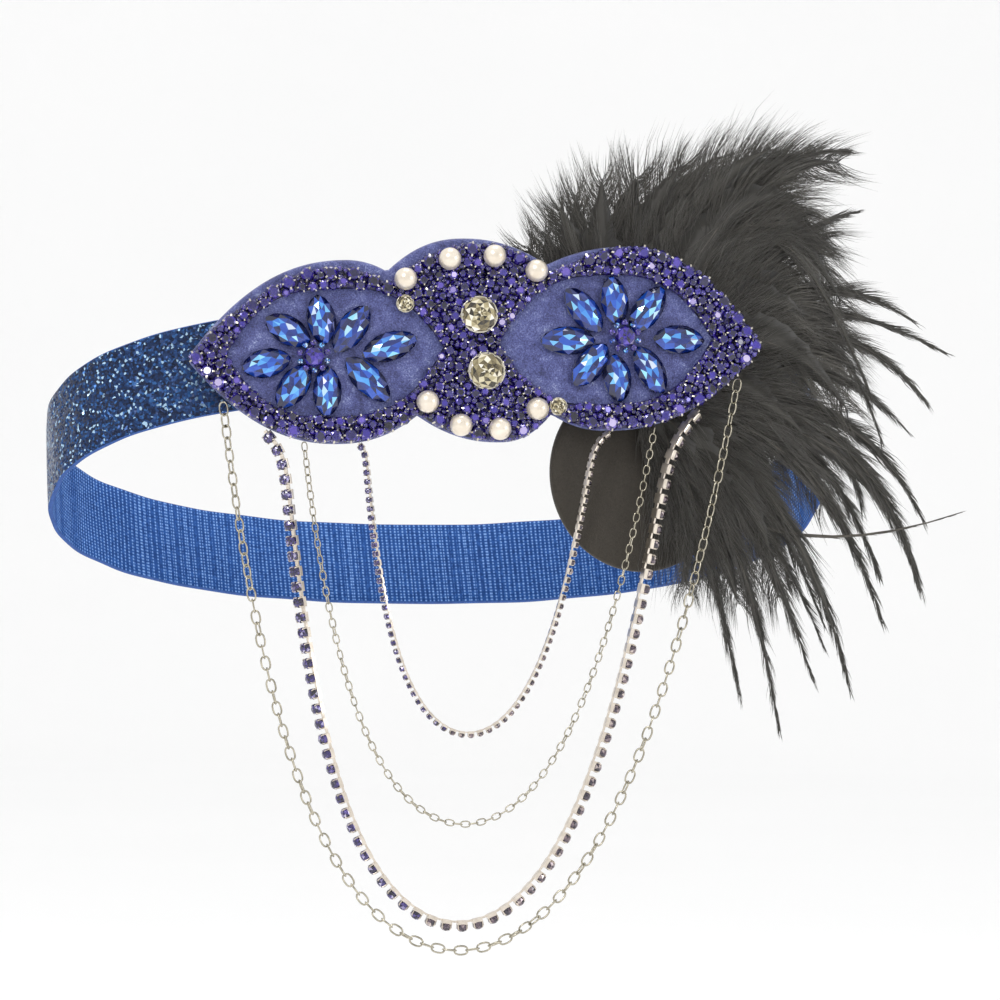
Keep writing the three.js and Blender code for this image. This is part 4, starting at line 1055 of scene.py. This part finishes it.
# Feathers, seen from the front, in mm: across and up to the knee of its arched line, across and up
# to the tip, how far the tip lifts back, and the kind.
plumes = {
    "crown": [
        (26, 38, 12, 50, 3, "marabou"), (26, 42, 16, 57, -1, "marabou"), (28, 46, 22, 61, 5, "marabou"),
        (31, 48, 25, 67, 0, "marabou"), (34, 52, 31, 71, 7, "marabou"), (38, 40, 30, 58, 4, "marabou"),
        (36, 54, 36, 75, -2, "marabou"), (42, 58, 47, 76, 4, "marabou"), (45, 62, 58, 79, -3, "marabou"),
        (48, 68, 70, 82, 6, "marabou"), (54, 74, 83, 84, -2, "marabou"), (62, 82, 95, 83, 5, "marabou"),
        (70, 88, 107, 84, 2, "hackle"), (66, 86, 104, 81, 3, "marabou"), (84, 66, 110, 68, 6, "hackle"),
        (58, 60, 80, 72, 3, "marabou"), (50, 52, 66, 70, 7, "marabou"), (74, 62, 100, 60, 1, "marabou")],
    "right": [
        (76, 110, 112, 17, -4, "hackle"), (72, 100, 104, 42, -2, "marabou"), (74, 88, 100, 56, 4, "marabou"),
        (68, 88, 94, 66, 0, "marabou"), (90, 60, 126, 38, 2, "hackle"), (88, 56, 135, 30, 4, "hackle"),
        (94, 54, 128, 16, -2, "hackle"), (80, 66, 106, 30, 5, "marabou"), (80, 48, 105, 14, -3, "marabou"),
        (94, 40, 124, 9, 5, "hackle"), (78, 36, 104, 4, 6, "marabou"), (96, 64, 115, 6, 0, "hackle"),
        (86, 50, 108, 22, 8, "marabou"), (70, 62, 94, 50, 3, "marabou"), (72, 54, 98, 40, -1, "marabou")],
    "low": [
        (106, 24, 128, -15, 0, "hackle"), (108, 16, 127, -32, 3, "hackle"), (112, 12, 129, -34, 6, "hackle"),
        (90, 14, 111, -27, 2, "hackle"), (98, 10, 118, -43, 5, "hackle"), (96, 16, 118, -31, 8, "hackle"),
        (82, 6, 101, -44, 3, "hackle"), (92, -2, 108, -61, 1, "hackle"), (80, 2, 102, -50, 6, "hackle"),
        (78, -2, 98, -59, 2, "hackle"), (76, -12, 89, -72, 4, "hackle"), (64, -10, 79, -65, 8, "hackle"),
        (69, -35, 138.5, -12.6, -3, "stripped"), (100, 22, 112, -12, 7, "hackle"),
        (76, 8, 92, -34, 7, "hackle"),
        (80, 24, 100, -10, 4, "marabou"), (72, 10, 84, -24, 0, "marabou"), (66, 4, 78, -30, 3, "marabou"),
        (60, 0, 70, -33, 6, "marabou"), (74, 16, 87, -8, 6, "marabou"), (66, -2, 76, -38, 2, "marabou"),
        (76, 4, 88, -36, 5, "marabou")],
    "heart": [
        (52, 44, 60, 60, 8, "marabou"), (62, 52, 74, 60, -2, "marabou"), (68, 56, 86, 54, 6, "marabou"),
        (72, 52, 92, 40, -3, "marabou"), (72, 40, 94, 24, 4, "marabou"), (72, 30, 92, 8, -2, "marabou"),
        (70, 20, 86, -6, 5, "marabou"), (66, 12, 78, -14, 0, "marabou"), (62, 6, 70, -24, 3, "marabou"),
        (61, 2, 66, -32, 1, "marabou"), (58, 0, 62, -34, 5, "marabou"), (62, 10, 70, -12, 0, "marabou"),
        (60, 34, 76, 40, 4, "marabou"), (60, 18, 76, 6, 3, "marabou")],
}
plume_random = np.random.default_rng(23)


def between(places):
    """Depth at these places kept behind the panel's back and before the elastic and the felt pad,
    whose fronts fall back steeply beyond their edges."""
    x, y, z = places[..., 0], places[..., 1], places[..., 2]
    height = np.clip(z - panel_place[2], -panel_half_height, panel_half_height)
    panel_back = (panel_place[1] + (x - panel_place[0]) ** 2 / (2 * panel_bend)
                  + height * math.tan(panel_lean) + 0.4 * mm)
    share = np.minimum(np.abs(x) / loop_half_width, 1)
    reach = loop_half_depth * (1 - share ** loop_squareness) ** (1 / loop_squareness)
    off_band = z - reach * math.sin(loop_tilt)
    band_front = (-reach * math.cos(loop_tilt) + off_band * math.tan(band_front_lean) - band_wall
                  + 2 * np.maximum(np.abs(off_band) - band_width / 2 - 0.5 * mm, 0))
    pad_x, pad_y, pad_z = (pad_low + pad_high) / 2
    off_pad = np.hypot(x - pad_x, z - pad_z) - pad_radius - 0.5 * mm
    pad_front = (pad_y + (x - pad_x) * math.tan(pad_yaw) + (z - pad_z) * math.tan(band_front_lean)
                 - pad_wall + 2 * np.maximum(off_pad, 0))
    return np.maximum(np.minimum(y, np.minimum(band_front, pad_front)), panel_back)


def feather(knee, tip, lift, carries):
    """One feather from the butts to its tip: a quill on an arched line, a thin vane of barbs that
    lie together, and tapered three-sided barbs that leave the quill at a slant, bend towards its
    tip and draw together into tufts. Gives the parts as (points, faces, along the barb, shade)."""
    knee, tip = np.array(knee) * mm, np.array(tip) * mm
    root = butts + (knee - butts) * butt_spread + plume_random.normal(0, 2.0, 2) * mm
    knee = knee + plume_random.normal(0, 1.5, 2) * mm
    reach = np.hypot(*(knee - root)) * 0.5 + np.hypot(*(tip - knee)) * 0.5 + np.hypot(*(tip - root)) * 0.5
    share = np.linspace(0, 1, 40)
    line = (((1 - share) ** 2)[:, None] * root + (2 * share * (1 - share))[:, None] * knee
            + (share ** 2)[:, None] * tip)
    # Places far in front of the panel, which between() brings to the depth of the panel's back.
    quill = np.stack([line[:, 0], np.full(len(line), -1.0), line[:, 1]], -1)
    below = np.maximum(0, butts[1] - line[:, 1])
    quill[:, 1] = (between(quill) + plume_gap + plume_random.uniform(0, 2.2) * mm + below * hang_back
                   + lift * mm * np.clip((share - 0.35) / 0.65, 0, 1) ** 1.5)
    quill[:, 1] = between(quill)
    tangent = unit(np.gradient(quill, axis=0))
    roll = plume_random.normal(0, 0.3)
    level = unit(np.cross(tangent, (0, -1, 0)))
    toward = np.cross(level, tangent)
    across = level * math.cos(roll) + toward * math.sin(roll)
    front = toward * math.cos(roll) - level * math.sin(roll)
    first_slant, last_slant = np.radians(carries["slants"])
    longest = min(carries["barb"], reach * 0.4)

    def barb_length(place):
        """Length of a barb by its place on the quill: growing to the middle, shorter at the tip."""
        grown = 0.5 + 0.5 * np.sin(np.clip(place / 0.45, 0, 1) * math.pi / 2)
        return longest * grown * (1 - carries["shorten"] * np.clip((place - 0.45) / 0.55, 0, 1) ** 1.2)

    def barb_slant(place):
        """Angle between a barb and the quill by its place on the quill."""
        return first_slant + (last_slant - first_slant) * place ** 0.8

    count = 2 * int(reach / carries["space"])
    spot = np.sort(plume_random.uniform(0.06, 0.995, count))
    side = np.where(np.arange(count) % 2 == 0, 1, -1)
    tuft_length = plume_random.uniform(2.5, 4.0) * mm
    tuft = np.floor(spot * reach / tuft_length + side * 0.25).astype(int)
    of_tuft = plume_random.normal(0, 1, (4, 400))[:, tuft]
    start, ahead, aside = (np.stack([np.interp(spot, share, rows[:, k]) for k in range(3)], -1)
                           for rows in (quill, tangent, across))
    ahead, aside = unit(ahead), unit(aside) * side[:, None]
    face = np.cross(ahead, aside) * side[:, None]
    slant = barb_slant(spot) + (of_tuft[0] * 0.7 + plume_random.normal(0, 1, count)) * carries["loose"]
    size = (barb_length(spot) * np.clip(1 + of_tuft[1] * 0.13, 0.6, 1.3)
            * plume_random.triangular(0.55, 0.95, 1.35, count))
    barb_steps = carries["steps"]
    t = np.linspace(0, 1, barb_steps + 1)[None, :, None]
    slant, run = slant[:, None, None], size[:, None, None] * t
    pull = np.clip((tuft + 0.5 - side * 0.25) * tuft_length - spot * reach, -3 * mm, 3 * mm)[:, None, None]
    sway = np.sin(t * 5 + of_tuft[3][:, None, None] * 2) * t * size[:, None, None] * 0.04
    path = (start[:, None]
            + ahead[:, None] * ((np.cos(slant) + 0.45 * np.sin(slant) * t) * run
                                + pull * carries["part"] * t ** 2)
            + aside[:, None] * ((np.sin(slant) * (1 - 0.4 * t)) * run + sway)
            + face[:, None] * ((of_tuft[2][:, None, None] * 0.14
                                + plume_random.normal(0, 0.08, (count, 1, 1))) * run * t))
    path[..., 2] -= size[:, None] * t[..., 0] ** 2 * plume_random.uniform(0.0, 0.12)
    path[..., 1] = between(path)
    course = unit(np.gradient(path, axis=1))
    broad = unit(np.cross(course, face[:, None]))
    deep = np.cross(broad, course)
    width = carries["half_width"] * plume_random.uniform(0.7, 1.4, count)[:, None, None] * (1 - 0.75 * t)
    corners = np.stack([path + broad * width, path - broad * width, path + deep * width * 0.7], 2)[:, :-1]
    barbs = np.concatenate([corners.reshape(count, -1, 3), path[:, -1:]], 1)
    last = 3 * (barb_steps - 1)
    ends = np.array([(2, 1, 0), (last, last + 1, last + 3), (last + 1, last + 2, last + 3),
                     (last + 2, last, last + 3)])
    shape = outward(barbs[0], [ends, grid(barb_steps, 3, close_columns=True)[:, ::-1]])
    step = (np.arange(count) * barbs.shape[1])[:, None, None]
    barb_faces = [(part[None] + step).reshape(-1, part.shape[1]) for part in shape]
    barb_along = np.tile(np.append(np.repeat(t[0, :-1, 0], 3), 1.0), count)
    shade = plume_random.random()
    barb_shade = np.repeat(plume_random.random(count) * 0.5 + shade * 0.5, barbs.shape[1])

    # The vane: a thin blade with a ridge on each side and edges as ragged as the tufts.
    place = np.linspace(0.03, 0.985, vane_stations)
    middle, ridge, beside = (np.stack([np.interp(place, share, rows[:, k]) for k in range(3)], -1)
                             for rows in (quill, front, across))
    half = (barb_length(place) * np.sin(barb_slant(place)) * carries["vane"]
            * (1 - place ** 5) * np.clip(place / 0.2, 0.2, 1))[:, None]
    ragged = plume_random.uniform(0.7, 1.1, (2, vane_stations, 1))
    swept = unit(np.gradient(middle, axis=0)) * half * 0.6
    blade = np.stack([middle + beside * half * ragged[0] + swept, middle + ridge * vane_wall,
                      middle - beside * half * ragged[1] + swept, middle - ridge * vane_wall], 1)
    blade[..., 1] = between(blade)
    blade = blade.reshape(-1, 3)
    end = np.array([(0, 1, 2, 3)])
    blade_faces = outward(blade, [grid(vane_stations, 4, close_columns=True),
                                  np.concatenate([end[:, ::-1], end + len(blade) - 4])])

    section = np.arange(5) / 5 * 2 * math.pi
    thin = carries["quill"] * (1 - 0.88 * share)[::3, None, None]
    shaft = (quill[::3, None] + across[::3, None] * np.cos(section)[:, None] * thin
             + front[::3, None] * np.sin(section)[:, None] * thin).reshape(-1, 3)
    fan = np.array([(0, 1, 2, 3, 4)])
    shaft_faces = outward(shaft, [grid(len(shaft) // 5, 5, close_columns=True),
                                  fan[:, ::-1], fan + len(shaft) - 5])
    return ((barbs.reshape(-1, 3), barb_faces, barb_along, barb_shade),
            (blade, blade_faces, np.full(len(blade), 0.15), np.full(len(blade), shade)),
            (shaft, shaft_faces, np.zeros(len(shaft)), np.ones(len(shaft))))


# Dyed feather keratin: soot black with a faint warm sheen, thinner towards the tips and painted greyer there:
# painted light showing through the thin fibres.
barb_black, tree, shader = material("dyed_feather_barbs", {"Roughness": 0.55, "Sheen Weight": 0.1,
                                                           "Specular IOR Level": 0.4})
along_barb = add(tree, "ShaderNodeAttribute", attribute_name="barb")
strand = add(tree, "ShaderNodeAttribute", attribute_name="strand")
# Near black at the root, painted greyer towards the tip as painted light through the thin fibres.
painted_tip_light = add(tree, "ShaderNodeMix", {0: along_barb.outputs["Fac"], 6: linear("11100E"), 7: linear("6E6A62")},
           data_type="RGBA")
shade = add(tree, "ShaderNodeMix", {0: strand.outputs["Fac"], 6: painted_tip_light.outputs[2], 7: linear("3A3833")},
            data_type="RGBA")
tree.links.new(shade.outputs[2], shader.inputs["Base Color"])
# Quills of the same feathers, smoother, their colour drifting in a noise between near black and a paler grey.
quill_horn = mottled("dyed_feather_quill", {"Roughness": 0.4}, "1B1916", "5B554C", {"Scale": 300.0})

for name, rows in plumes.items():
    parts = [part for *knee_tip, lift, kind in rows
             for part in feather(knee_tip[:2], knee_tip[2:], lift, feather_kinds[kind])]
    points, faces, source = joined([part[:2] for part in parts])
    tuft = piece(f"plume_{name}", points, faces, [barb_black, quill_horn], source % 3 == 2,
                 values={"barb": np.concatenate([part[2] for part in parts]),
                         "strand": np.concatenate([part[3] for part in parts])})
    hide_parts("feather_plume")
    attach(tuft, "root")
